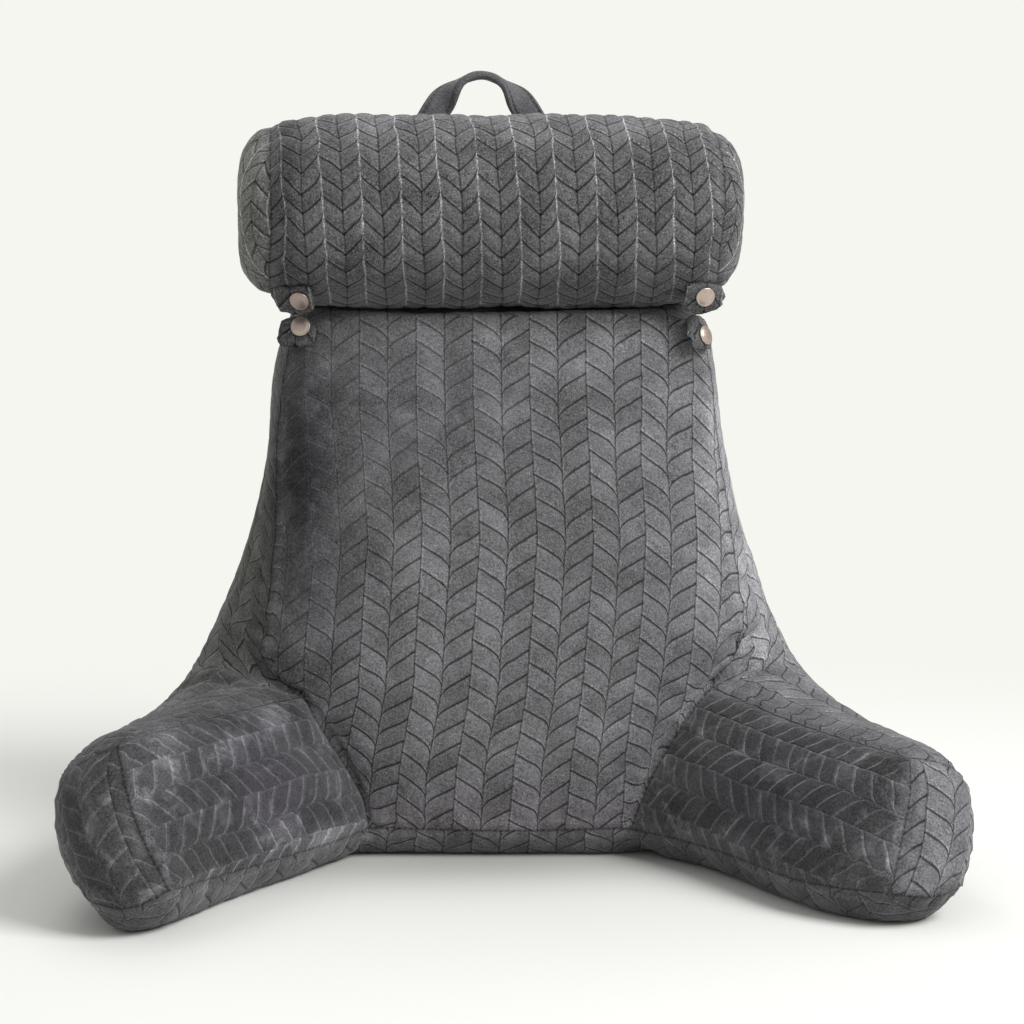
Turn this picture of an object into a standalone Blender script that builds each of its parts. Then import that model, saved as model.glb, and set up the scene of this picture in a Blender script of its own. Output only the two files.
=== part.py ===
# Reading pillow with arms: a plush backrest cushion with two forward arms, a neck roll
# held at its lower corners by tabs with snaps, and a carry handle on the back's top edge.
# Metres, +Z up, +X to the right as seen from the front, -Y towards the viewer.
import math

import bmesh
import bpy
import numpy as np
from mathutils import Vector
from mathutils.kdtree import KDTree

# Driving dimensions
CELL = 0.019                # length of a surface cell along the seams
SEAM_NEAR = 0.0055          # a point nearer than this to a seam is held by its stitches
SEAM_READINGS = 70          # points that stand for a seam when distances to it are measured
LINE_READINGS = 400         # fine steps along a line when its length is shared out evenly
DEEP_CELLS = 8              # cells across the gussets, the arm tops and the base
EDGE_REACH = 0.028          # how far from a seam the tight rounding reaches
EDGE_RISE = 0.010           # how high that rounding stands
CROWN_REACH = 0.166         # how far from a seam the broad crown goes on rising
CROWN_RISE = 0.031          # how high the broad crown adds
SOFTENING = 10              # smoothing passes over the unsewn lines
EVENING = 4                 # times that the stuffed cloth's rise is averaged with its neighbours
BAND_HEIGHT = 0.031         # how far the base's border hangs below its seam before it lies flat
BAND_REACH = 0.039          # width of base cloth that the border takes up
BAND_FADE = 0.028           # how far the cloth inside the border is pulled outwards
UNDERSIDE = -0.80           # a panel that faces down more than this belongs to the base

ROLL_AXIS = (0.0645, 0.5595)  # y and z of the neck roll's axis
ROLL_HALF = 0.2205           # half of the roll's length
ROLL_RADIUS = 0.0842
ROLL_CENTRE_X = -0.0066
ROLL_POWER = 4.8            # how square the roll's ends are
ROLL_RINGS = 26
ROLL_SIDES = 28
ROLL_GAP = 0.003            # room between the roll and the cushion that it presses on

STRAP_WIDTH = 0.026
STRAP_THICK = 0.0075
STRAP_TOP = 0.6900          # height of the handle's upper edge
STRAP_FOOT = 0.6155         # height where the handle is sewn to the back
STRAP_SPREAD = 0.0645       # half the distance between the feet
STRAP_TURN = 0.65           # share of the way down to a foot where the strap faces fully forward
STRAP_Y = 0.173
STRAP_X = -0.0083
STRAP_SECTIONS = 30
STRAP_SIDES = 10
STRAP_SQUARE = (0.45, 0.60)  # how square the strap's section is, across its width and its thickness
STRAP_GAP = 0.0008          # room between a foot and the top edge of the back

TAB_THICK = 0.0032
TAB_CELLS = (7, 8)          # across and along
TAB_CORNER = 0.30           # how much the corners are rounded off
TAB_RIM = 0.45              # thickness left at the rim, as a share
TAB_DOME = (0.0012, 0.0010)  # how far the rim falls back, at the sides and at the ends
CAP_RADIUS = 0.0087         # snap cap
CAP_HEIGHT = 0.0032
CAP_SIDES = 24
# shares of a cap's radius and height, from its foot up
CAP_PROFILE = ((0.90, 0.0), (1.0, 0.30), (0.94, 0.62), (0.72, 0.86), (0.38, 0.98))
TRIM_GAP = 0.0004           # room between a snap cap and its tab

PLUSH = (0.085, 0.085, 0.094)
PLUSH_STRAP = (0.075, 0.077, 0.085)
SNAP_METAL = (0.42, 0.33, 0.29)

# Sewn lines, one table each
# Every row is a point (x, y, z) that the sewn line runs through, for the left arm's side and
# for the right arm's side, which are sewn and stuffed a little differently.
FRONT_SIDE = {      # backrest front to side gusset, from the top corner to the arm's root
    "left": [(-0.187, 0.057, 0.457), (-0.190, 0.052, 0.405), (-0.195, 0.044, 0.354), (-0.196, 0.035, 0.293),
             (-0.203, 0.024, 0.216), (-0.210, 0.013, 0.171), (-0.197, 0.007, 0.153), (-0.173, 0.005, 0.141)],
    "right": [(0.189, 0.057, 0.457), (0.190, 0.052, 0.405), (0.194, 0.044, 0.354), (0.201, 0.035, 0.304),
              (0.209, 0.025, 0.241), (0.218, 0.016, 0.189), (0.207, 0.011, 0.164), (0.185, 0.009, 0.145)]}
FRONT_ARM = {       # backrest front to inner arm panel, from the arm's root down
    "left": [(-0.173, 0.005, 0.141), (-0.158, -0.002, 0.116), (-0.141, -0.007, 0.090),
             (-0.122, -0.012, 0.052), (-0.117, -0.015, 0.029)],
    "right": [(0.185, 0.009, 0.145), (0.158, -0.002, 0.114), (0.138, -0.011, 0.086),
              (0.120, -0.022, 0.051), (0.110, -0.029, 0.028)]}
ARM_INNER_TOP = {   # arm's top to inner arm panel, from the root to the arm's end
    "left": [(-0.173, 0.005, 0.141), (-0.206, -0.042, 0.141), (-0.241, -0.101, 0.143), (-0.278, -0.161, 0.145),
             (-0.313, -0.216, 0.144)],
    "right": [(0.185, 0.009, 0.145), (0.213, -0.039, 0.135), (0.247, -0.101, 0.128), (0.279, -0.166, 0.126),
              (0.306, -0.225, 0.127)]}
ARM_INNER_LOW = {   # inner arm panel to the base, from the backrest to the arm's end
    "left": [(-0.117, -0.015, 0.029), (-0.147, -0.057, 0.028), (-0.182, -0.106, 0.029), (-0.241, -0.191, 0.032),
             (-0.271, -0.262, 0.039)],
    "right": [(0.110, -0.029, 0.028), (0.147, -0.069, 0.027), (0.180, -0.129, 0.028), (0.225, -0.225, 0.029),
              (0.281, -0.276, 0.030)]}
END_INNER = {       # arm's end panel to inner arm panel, from the top down
    "left": [(-0.313, -0.216, 0.144), (-0.307, -0.232, 0.118), (-0.295, -0.248, 0.083), (-0.271, -0.262, 0.039)],
    "right": [(0.306, -0.225, 0.127), (0.305, -0.237, 0.106), (0.296, -0.253, 0.072), (0.281, -0.276, 0.030)]}
END_OUTER = {       # arm's end panel to the outer arm side, from the top down
    "left": [(-0.360, -0.189, 0.116), (-0.362, -0.202, 0.092), (-0.355, -0.221, 0.061), (-0.335, -0.248, 0.028)],
    "right": [(0.356, -0.189, 0.107), (0.361, -0.204, 0.088), (0.358, -0.224, 0.059), (0.345, -0.250, 0.028)]}
END_TOP = {         # arm's end panel to the arm's top, from the inner side out
    "left": [(-0.313, -0.216, 0.144), (-0.335, -0.208, 0.131), (-0.360, -0.189, 0.116)],
    "right": [(0.306, -0.225, 0.127), (0.333, -0.214, 0.119), (0.356, -0.189, 0.107)]}
END_LOW = {         # arm's end panel to the base, from the inner side out
    "left": [(-0.271, -0.262, 0.039), (-0.302, -0.263, 0.029), (-0.335, -0.248, 0.028)],
    "right": [(0.281, -0.276, 0.030), (0.313, -0.271, 0.028), (0.345, -0.250, 0.028)]}
ARM_OUTER_TOP = {   # arm's top to the outer arm side, from the back to the arm's end
    "left": [(-0.287, 0.064, 0.129), (-0.315, 0.000, 0.112), (-0.337, -0.078, 0.104), (-0.360, -0.189, 0.116)],
    "right": [(0.283, 0.060, 0.129), (0.311, 0.000, 0.109), (0.334, -0.078, 0.099), (0.356, -0.189, 0.107)]}
ARM_OUTER_LOW = {   # outer arm side to the base, from the back to the arm's end
    "left": [(-0.272, 0.064, 0.028), (-0.300, 0.000, 0.028), (-0.328, -0.092, 0.028), (-0.335, -0.248, 0.028)],
    "right": [(0.270, 0.061, 0.028), (0.298, 0.000, 0.028), (0.328, -0.092, 0.028), (0.345, -0.250, 0.028)]}
BACK_SIDE = {       # side gusset to the back panel, from the top down to the arm's root
    "left": [(-0.158, 0.175, 0.600), (-0.169, 0.167, 0.515), (-0.181, 0.155, 0.423), (-0.201, 0.143, 0.322),
             (-0.230, 0.129, 0.230), (-0.262, 0.101, 0.167), (-0.287, 0.064, 0.129)],
    "right": [(0.156, 0.175, 0.600), (0.166, 0.167, 0.515), (0.177, 0.155, 0.423), (0.197, 0.143, 0.322),
              (0.226, 0.129, 0.235), (0.258, 0.099, 0.171), (0.283, 0.060, 0.129)]}
TOP_SIDE = {        # top panel to the side gusset, from the front corner back and up behind the roll
    "left": [(-0.187, 0.057, 0.457), (-0.180, 0.101, 0.467), (-0.171, 0.138, 0.497), (-0.162, 0.153, 0.547),
             (-0.156, 0.156, 0.593), (-0.158, 0.175, 0.600)],
    "right": [(0.189, 0.057, 0.457), (0.181, 0.101, 0.467), (0.171, 0.138, 0.497), (0.162, 0.153, 0.547),
              (0.155, 0.156, 0.593), (0.156, 0.175, 0.600)]}
ROOT_CREASE = {     # unsewn fold where the side gusset turns into the arm's top
    "left": [(-0.173, 0.005, 0.141), (-0.223, 0.028, 0.145), (-0.258, 0.048, 0.140), (-0.287, 0.064, 0.129)],
    "right": [(0.185, 0.009, 0.145), (0.224, 0.028, 0.145), (0.256, 0.044, 0.140), (0.283, 0.060, 0.129)]}
BACK_CORNER = {     # unsewn line down the back, below the arm's root
    "left": [(-0.287, 0.064, 0.129), (-0.285, 0.066, 0.081), (-0.272, 0.064, 0.028)],
    "right": [(0.283, 0.060, 0.129), (0.282, 0.062, 0.081), (0.270, 0.061, 0.028)]}
# Lines across the pillow, from the left side to the right side
FRONT_TOP = [(-0.187, 0.057, 0.457), (-0.101, 0.048, 0.463), (0.000, 0.046, 0.463), (0.101, 0.048, 0.463),
             (0.189, 0.057, 0.457)]
FRONT_WAIST = [(-0.173, 0.005, 0.141), (0.000, -0.004, 0.143), (0.185, 0.009, 0.145)]
FRONT_LOW = [(-0.117, -0.015, 0.029), (0.000, -0.024, 0.027), (0.110, -0.029, 0.028)]
BACK_TOP = [(-0.158, 0.175, 0.600), (-0.083, 0.177, 0.607), (0.000, 0.178, 0.609), (0.083, 0.177, 0.607),
            (0.156, 0.175, 0.600)]
BACK_WAIST = [(-0.287, 0.064, 0.129), (-0.221, 0.112, 0.136), (0.000, 0.136, 0.138), (0.219, 0.110, 0.136),
              (0.283, 0.060, 0.129)]
BACK_LOW = [(-0.272, 0.064, 0.028), (-0.210, 0.109, 0.028), (0.000, 0.129, 0.028), (0.210, 0.107, 0.028),
            (0.270, 0.061, 0.028)]

# Dents where the stuffing gives way: centre, reach of the dent, depth of the dent
DENTS = [
    {"at": (0.204, 0.011, 0.167), "reach": 0.031, "depth": 0.008},
    {"at": (-0.208, 0.018, 0.153), "reach": 0.028, "depth": 0.007},
    {"at": (-0.152, -0.028, 0.106), "reach": 0.041, "depth": 0.005},
    {"at": (0.152, -0.029, 0.103), "reach": 0.041, "depth": 0.005},
    {"at": (-0.180, 0.055, 0.440), "reach": 0.022, "depth": 0.005},
    {"at": (0.183, 0.055, 0.440), "reach": 0.022, "depth": 0.005}]

# Tabs: centre, width, height, lean about X, turn about Z; and where on the tab its snap cap sits
TABS = [
    {"name": "roll_tab_left", "at": (-0.1743, 0.0222, 0.4812), "width": 0.024, "height": 0.024,
     "lean": 14.0, "turn": -8.0, "cap": (0.001, 0.002)},
    {"name": "roll_tab_right", "at": (0.1780, 0.0210, 0.4838), "width": 0.027, "height": 0.025,
     "lean": 14.0, "turn": 8.0, "cap": (-0.001, 0.002)},
    {"name": "body_tab_left", "at": (-0.1755, 0.0520, 0.4555), "width": 0.021, "height": 0.026,
     "lean": -16.0, "turn": -12.0, "cap": (0.004, 0.0035)},
    {"name": "body_tab_right", "at": (0.1785, 0.0485, 0.4520), "width": 0.024, "height": 0.029,
     "lean": -16.0, "turn": 30.0, "cap": (0.003, -0.001)}]


# Shared tools
def clear_scene():
    for thing in list(bpy.data.objects):
        bpy.data.objects.remove(thing, do_unlink=True)


def make_material(name, colour, roughness, metallic=0.0):
    material = bpy.data.materials.new(name)
    material.use_nodes = True
    shader = material.node_tree.nodes["Principled BSDF"]
    shader.inputs["Base Color"].default_value = (*colour, 1.0)
    shader.inputs["Roughness"].default_value = roughness
    shader.inputs["Metallic"].default_value = metallic
    return material


def object_from_bmesh(name, bm, material):
    """Turns a bmesh into a smooth shaded object with its faces pointing out."""
    bmesh.ops.recalc_face_normals(bm, faces=bm.faces)
    if bm.calc_volume(signed=True) < 0:
        bmesh.ops.reverse_faces(bm, faces=bm.faces)
    mesh = bpy.data.meshes.new(name)
    bm.to_mesh(mesh)
    bm.free()
    mesh.shade_smooth()
    mesh.materials.append(material)
    thing = bpy.data.objects.new(name, mesh)
    bpy.context.scene.collection.objects.link(thing)
    return thing


def run_through(points, count):
    """A smooth line through the points, read at count + 1 even steps of its length."""
    points = np.array(points, float)
    steps = np.linalg.norm(np.diff(points, axis=0), axis=1) ** 0.5
    knots = np.concatenate([[0.0], np.cumsum(steps)])
    slopes = np.gradient(points, knots, axis=0) if len(points) > 2 else None
    dense = np.linspace(0.0, knots[-1], LINE_READINGS)
    if slopes is None:
        line = points[0] + (points[1] - points[0]) * (dense / knots[-1])[:, None]
    else:
        span = np.clip(np.searchsorted(knots, dense, side="right") - 1, 0, len(knots) - 2)
        width = (knots[span + 1] - knots[span])[:, None]
        t = ((dense - knots[span])[:, None]) / width
        line = ((2 * t**3 - 3 * t**2 + 1) * points[span] + (t**3 - 2 * t**2 + t) * width * slopes[span]
                + (3 * t**2 - 2 * t**3) * points[span + 1] + (t**3 - t**2) * width * slopes[span + 1])
    length = np.concatenate([[0.0], np.cumsum(np.linalg.norm(np.diff(line, axis=0), axis=1))])
    even = np.linspace(0.0, length[-1], count + 1)
    even_line = np.stack([np.interp(even, length, line[:, k]) for k in range(3)], axis=1)
    even_line[0], even_line[-1] = points[0], points[-1]
    return even_line


def fill_between(first, last, start, end):
    """Grid between four lines: first and last run one way, start and end join their ends."""
    u = np.linspace(0.0, 1.0, len(first))[None, :, None]
    v = np.linspace(0.0, 1.0, len(start))[:, None, None]
    ruled_v = (1 - v) * first[None] + v * last[None]
    ruled_u = (1 - u) * start[:, None] + u * end[:, None]
    corners = ((1 - u) * (1 - v) * first[0] + u * (1 - v) * first[-1]
               + (1 - u) * v * last[0] + u * v * last[-1])
    return ruled_v + ruled_u - corners


def add_grid(bm, grid):
    rows, columns = grid.shape[:2]
    verts = [[bm.verts.new(grid[r, c]) for c in range(columns)] for r in range(rows)]
    for r in range(rows - 1):
        for c in range(columns - 1):
            bm.faces.new((verts[r][c], verts[r][c + 1], verts[r + 1][c + 1], verts[r + 1][c]))


# The cushion with its arms
def cells_along(points):
    line = run_through(points, SEAM_READINGS)
    return max(3, round(float(np.linalg.norm(np.diff(line, axis=0), axis=1).sum()) / CELL))


def cushion_panels():
    """The panels as grids between their sewn lines, and the sewn lines as points."""
    down = cells_along(FRONT_SIDE["left"])
    drop = cells_along(FRONT_ARM["left"])
    along = cells_along(ARM_INNER_TOP["left"])
    wide = cells_along(FRONT_TOP)
    across = {name: run_through(points, wide) for name, points in (
        ("front_top", FRONT_TOP), ("front_waist", FRONT_WAIST), ("front_low", FRONT_LOW),
        ("back_top", BACK_TOP), ("back_waist", BACK_WAIST), ("back_low", BACK_LOW))}
    grids = []
    edge = {}
    for side in ("left", "right"):
        edge[side] = e = {
            "front_side": run_through(FRONT_SIDE[side], down),
            "back_side": run_through(BACK_SIDE[side], down),
            "front_arm": run_through(FRONT_ARM[side], drop),
            "back_corner": run_through(BACK_CORNER[side], drop),
            "end_inner": run_through(END_INNER[side], drop),
            "end_outer": run_through(END_OUTER[side], drop),
            "inner_top": run_through(ARM_INNER_TOP[side], along),
            "inner_low": run_through(ARM_INNER_LOW[side], along),
            "outer_top": run_through(ARM_OUTER_TOP[side], along),
            "outer_low": run_through(ARM_OUTER_LOW[side], along),
            "end_top": run_through(END_TOP[side], DEEP_CELLS),
            "end_low": run_through(END_LOW[side], DEEP_CELLS),
            "top_side": run_through(TOP_SIDE[side], DEEP_CELLS),
            "root_crease": run_through(ROOT_CREASE[side], DEEP_CELLS)}
        tip = 0 if side == "left" else -1
        e["base_side"] = run_through([FRONT_LOW[tip], BACK_LOW[tip]], DEEP_CELLS)
        grids += [
            fill_between(e["inner_top"], e["inner_low"], e["front_arm"], e["end_inner"]),
            fill_between(e["end_top"], e["end_low"], e["end_inner"], e["end_outer"]),
            fill_between(e["front_side"], e["back_side"], e["top_side"], e["root_crease"]),
            fill_between(e["inner_top"], e["outer_top"], e["root_crease"], e["end_top"]),
            fill_between(e["outer_top"], e["outer_low"], e["back_corner"], e["end_outer"]),
            fill_between(e["inner_low"], e["outer_low"], e["base_side"], e["end_low"])]
    left, right = edge["left"], edge["right"]
    grids += [
        fill_between(across["front_top"], across["front_waist"], left["front_side"], right["front_side"]),
        fill_between(across["front_waist"], across["front_low"], left["front_arm"], right["front_arm"]),
        fill_between(across["back_top"], across["back_waist"], left["back_side"], right["back_side"]),
        fill_between(across["back_waist"], across["back_low"], left["back_corner"], right["back_corner"]),
        fill_between(across["front_top"], across["back_top"], left["top_side"], right["top_side"]),
        fill_between(across["front_low"], across["back_low"], left["base_side"], right["base_side"])]
    sewn = [FRONT_TOP, FRONT_LOW, BACK_TOP, BACK_LOW]
    for table in (FRONT_SIDE, FRONT_ARM, ARM_INNER_TOP, ARM_INNER_LOW, END_INNER, END_OUTER, END_TOP, END_LOW,
                  ARM_OUTER_TOP, ARM_OUTER_LOW, BACK_SIDE, TOP_SIDE):
        sewn += [table["left"], table["right"]]
    seam_points = np.concatenate([run_through(points, SEAM_READINGS) for points in sewn])
    return grids, seam_points


def rise(distance):
    """Height of the stuffed cloth above its panel, at a distance from the nearest seam."""
    edge = 1.0 - (1.0 - min(distance / EDGE_REACH, 1.0)) ** 2
    crown = math.sin(math.pi / 2 * min(distance / CROWN_REACH, 1.0)) ** 2
    return EDGE_RISE * edge + CROWN_RISE * crown


def even_out(moves, loose):
    """Averages each move with its neighbours' several times; seams stay where they are."""
    still = Vector((0.0, 0.0, 0.0))
    for _ in range(EVENING):
        around = {v: sum((moves[e.other_vert(v)] for e in v.link_edges), still) / len(v.link_edges)
                  for v in loose}
        moves = {v: (move + around[v]) / 2 if v in loose else still for v, move in moves.items()}
    return moves


def border_move(v, seam_point, _, distance):
    """The base's border hangs down from its seam in a quarter circle, and the rest lies flat below it."""
    turn = math.pi / 2 * min(distance / BAND_REACH, 1.0)
    outward = (seam_point - v.co) / distance
    if distance < BAND_REACH:
        pull = distance - BAND_HEIGHT * (1.0 - math.cos(turn))
    else:
        pull = (BAND_REACH - BAND_HEIGHT) * math.exp((BAND_REACH - distance) / BAND_FADE)
    return outward * pull + Vector((0.0, 0.0, -(v.co.z + BAND_HEIGHT) * math.sin(turn)))


def roll_radius(x):
    """Radius of the neck roll at a place along its length: a rounded barrel."""
    share = min(abs(x - ROLL_CENTRE_X) / ROLL_HALF, 1.0)
    return ROLL_RADIUS * (1.0 - share**ROLL_POWER) ** (1.0 / ROLL_POWER)


def make_cushion(material):
    grids, seam_points = cushion_panels()
    bm = bmesh.new()
    for grid in grids:
        add_grid(bm, grid)
    bmesh.ops.remove_doubles(bm, verts=bm.verts, dist=0.0002)
    bmesh.ops.recalc_face_normals(bm, faces=bm.faces)
    if bm.calc_volume(signed=True) < 0:
        bmesh.ops.reverse_faces(bm, faces=bm.faces)

    seams = KDTree(len(seam_points))
    for index, point in enumerate(seam_points):
        seams.insert(point, index)
    seams.balance()
    loose = [v for v in bm.verts if seams.find(v.co)[2] > SEAM_NEAR]
    for _ in range(SOFTENING):
        bmesh.ops.smooth_vert(bm, verts=loose, factor=0.5, use_axis_x=True, use_axis_y=True, use_axis_z=True)
    bm.normal_update()
    nearest = {v: seams.find(v.co) for v in bm.verts}
    moves = {}
    for v in bm.verts:
        if v.normal.z < UNDERSIDE and nearest[v][2] > SEAM_NEAR:
            moves[v] = border_move(v, *nearest[v])
        else:
            moves[v] = v.normal * rise(nearest[v][2])
    for v, move in even_out(moves, set(loose)).items():
        v.co += move
    bm.normal_update()
    for dent in DENTS:
        centre = Vector(dent["at"])
        for v in bm.verts:
            near = (v.co - centre).length / dent["reach"]
            v.co -= v.normal * dent["depth"] * math.exp(-near * near)
    for v in bm.verts:
        press_by_roll(v)
        v.co.z = min(max(v.co.z, 0.0), STRAP_FOOT - STRAP_GAP)
    bmesh.ops.triangulate(bm, faces=bm.faces)
    return object_from_bmesh("cushion", bm, material)


def press_by_roll(v):
    """Cloth under and behind the neck roll gives way to it."""
    share = abs(v.co.x - ROLL_CENTRE_X) / ROLL_HALF
    radius = roll_radius(v.co.x) + ROLL_GAP if share < 1.0 else 0.0
    dy, dz = v.co.y - ROLL_AXIS[0], v.co.z - ROLL_AXIS[1]
    reach = math.hypot(dy, dz)
    if 0.0 < reach < radius:
        v.co.y = ROLL_AXIS[0] + dy * radius / reach
        v.co.z = ROLL_AXIS[1] + dz * radius / reach


# The neck roll
def make_roll(material):
    """Rings of a rounded barrel along X, closed by a centre point at each end."""
    bm = bmesh.new()
    rings = []
    for i in range(1, ROLL_RINGS):
        angle = math.pi * i / ROLL_RINGS
        x = ROLL_CENTRE_X - ROLL_HALF * math.copysign(abs(math.cos(angle)) ** (2 / ROLL_POWER), math.cos(angle))
        radius = roll_radius(x)
        turns = [2 * math.pi * k / ROLL_SIDES for k in range(ROLL_SIDES)]
        rings.append([bm.verts.new((x, ROLL_AXIS[0] + radius * math.cos(turn),
                                    ROLL_AXIS[1] + radius * math.sin(turn))) for turn in turns])
    for first, last in zip(rings, rings[1:]):
        for k in range(ROLL_SIDES):
            n = (k + 1) % ROLL_SIDES
            bm.faces.new((first[k], first[n], last[n], last[k]))
    for ring, sign in ((rings[0], -1), (rings[-1], 1)):
        pole = bm.verts.new((ROLL_CENTRE_X + sign * ROLL_HALF, *ROLL_AXIS))
        for k in range(ROLL_SIDES):
            bm.faces.new((ring[k], ring[(k + 1) % ROLL_SIDES], pole))
    bmesh.ops.triangulate(bm, faces=bm.faces)
    return object_from_bmesh("neck_roll", bm, material)


# The carry handle
def make_handle(material):
    """A flat strap bent over in a loop: it lies flat at the top and turns to face forward at its feet."""
    bm = bmesh.new()
    half_thick = STRAP_THICK / 2
    rise_height = STRAP_TOP - half_thick - STRAP_FOOT
    sections = []
    for i in range(STRAP_SECTIONS + 1):
        share = 2.0 * i / STRAP_SECTIONS - 1.0
        centre = Vector((STRAP_X + STRAP_SPREAD * share, STRAP_Y,
                         STRAP_FOOT + rise_height * (1.0 - share * share)))
        tangent = Vector((STRAP_SPREAD, 0.0, -2.0 * rise_height * share)).normalized()
        outward = Vector((-tangent.z, 0.0, tangent.x))
        turned = max(0.0, 1.0 - (share / STRAP_TURN) ** 2)
        face = math.pi / 2 * turned * turned * (3 - 2 * turned)
        wide = (outward * math.cos(face) + Vector((0, 1, 0)) * math.sin(face)).normalized()
        thin = tangent.cross(wide).normalized()
        width = STRAP_WIDTH / 2
        ring = []
        for k in range(STRAP_SIDES):
            turn = 2 * math.pi * k / STRAP_SIDES
            a = math.copysign(abs(math.cos(turn)) ** STRAP_SQUARE[0], math.cos(turn)) * width
            b = math.copysign(abs(math.sin(turn)) ** STRAP_SQUARE[1], math.sin(turn)) * half_thick
            ring.append(bm.verts.new(centre + wide * a + thin * b))
        sections.append(ring)
    for first, last in zip(sections, sections[1:]):
        for k in range(STRAP_SIDES):
            n = (k + 1) % STRAP_SIDES
            bm.faces.new((first[k], first[n], last[n], last[k]))
    bm.faces.new(sections[0])
    bm.faces.new(sections[-1])
    for ring in (sections[0], sections[-1]):
        for v in ring:
            v.co.z = STRAP_FOOT
    bmesh.ops.triangulate(bm, faces=bm.faces)
    return object_from_bmesh("carry_handle", bm, material)


# Tabs and snap caps
def tab_frame(tab):
    """The tab's right, up and outward directions."""
    lean, turn = math.radians(tab["lean"]), math.radians(tab["turn"])
    right = Vector((math.cos(turn), math.sin(turn), 0.0))
    out = Vector((math.sin(turn) * math.cos(lean), -math.cos(turn) * math.cos(lean), -math.sin(lean)))
    up = right.cross(out) * -1.0
    return right, up.normalized(), out.normalized()


def make_tab(tab, material):
    """A small strip of plush with rounded corners, a soft dome across its width."""
    right, up, out = tab_frame(tab)
    across, along = TAB_CELLS
    half_width, half_height = tab["width"] / 2, tab["height"] / 2
    bm = bmesh.new()
    faces = []
    for level in (1, -1):
        grid = np.zeros((along + 1, across + 1, 3))
        for r in range(along + 1):
            for c in range(across + 1):
                s, t = 2 * c / across - 1, 2 * r / along - 1
                s_round = s * math.sqrt(1 - TAB_CORNER * t * t)
                t_round = t * math.sqrt(1 - TAB_CORNER * s * s)
                on_rim = r in (0, along) or c in (0, across)
                swell = TAB_THICK / 2 * (TAB_RIM if on_rim else 1.0)
                dome = -TAB_DOME[0] * s * s - TAB_DOME[1] * t * t
                grid[r, c] = (Vector(tab["at"]) + right * (s_round * half_width) + up * (t_round * half_height)
                              + out * (level * swell + dome))
        faces.append(grid)
    add_grid(bm, faces[0])
    add_grid(bm, faces[1])
    front, back = faces
    rim = ([(0, c) for c in range(across)] + [(r, across) for r in range(along)]
           + [(along, c) for c in range(across, 0, -1)] + [(r, 0) for r in range(along, 0, -1)])
    for (r0, c0), (r1, c1) in zip(rim, rim[1:] + rim[:1]):
        corners = [front[r0, c0], front[r1, c1], back[r1, c1], back[r0, c0]]
        bm.faces.new([bm.verts.new(corner) for corner in corners])
    bmesh.ops.remove_doubles(bm, verts=bm.verts, dist=0.00005)
    bmesh.ops.triangulate(bm, faces=bm.faces)
    return object_from_bmesh(tab["name"], bm, material)


def make_cap(tab, material):
    """The domed metal cap of a snap, turned about the tab's outward direction."""
    right, up, out = tab_frame(tab)
    offset = tab["cap"]
    base = (Vector(tab["at"]) + right * offset[0] + up * offset[1]
            + out * (TAB_THICK / 2 + TRIM_GAP))
    bm = bmesh.new()
    turns = [2 * math.pi * k / CAP_SIDES for k in range(CAP_SIDES)]
    spokes = [right * math.cos(turn) + up * math.sin(turn) for turn in turns]
    rings = [[bm.verts.new(base + out * (CAP_HEIGHT * height) + spoke * (CAP_RADIUS * radius))
              for spoke in spokes] for radius, height in CAP_PROFILE]
    for first, last in zip(rings, rings[1:]):
        for k in range(CAP_SIDES):
            n = (k + 1) % CAP_SIDES
            bm.faces.new((first[k], first[n], last[n], last[k]))
    bm.faces.new(rings[0])
    top = bm.verts.new(base + out * CAP_HEIGHT)
    for k in range(CAP_SIDES):
        bm.faces.new((rings[-1][k], rings[-1][(k + 1) % CAP_SIDES], top))
    bmesh.ops.triangulate(bm, faces=bm.faces)
    return object_from_bmesh(tab["name"].replace("tab", "snap"), bm, material)


# The whole pillow
def stand_at_origin(things):
    """Moves the meshes so that the whole pillow's box is centred on X and Y and stands on z = 0."""
    corners = np.array([v.co for thing in things for v in thing.data.vertices])
    low, high = corners.min(axis=0), corners.max(axis=0)
    shift = Vector((-(low[0] + high[0]) / 2, -(low[1] + high[1]) / 2, -low[2]))
    for thing in things:
        for v in thing.data.vertices:
            v.co += shift
    print("shift", [round(value, 5) for value in shift], "size", [round(float(s), 4) for s in high - low])


def main():
    clear_scene()
    plush = make_material("embossed_plush", PLUSH, 0.95)
    roll_plush = make_material("roll_plush", PLUSH, 0.95)
    strap_plush = make_material("strap_plush", PLUSH_STRAP, 0.95)
    metal = make_material("snap_metal", SNAP_METAL, 0.38, 0.9)
    things = [make_cushion(plush), make_roll(roll_plush), make_handle(strap_plush)]
    for tab in TABS:
        things.append(make_tab(tab, strap_plush))
        things.append(make_cap(tab, metal))
    stand_at_origin(things)


main()
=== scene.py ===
import math

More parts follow.
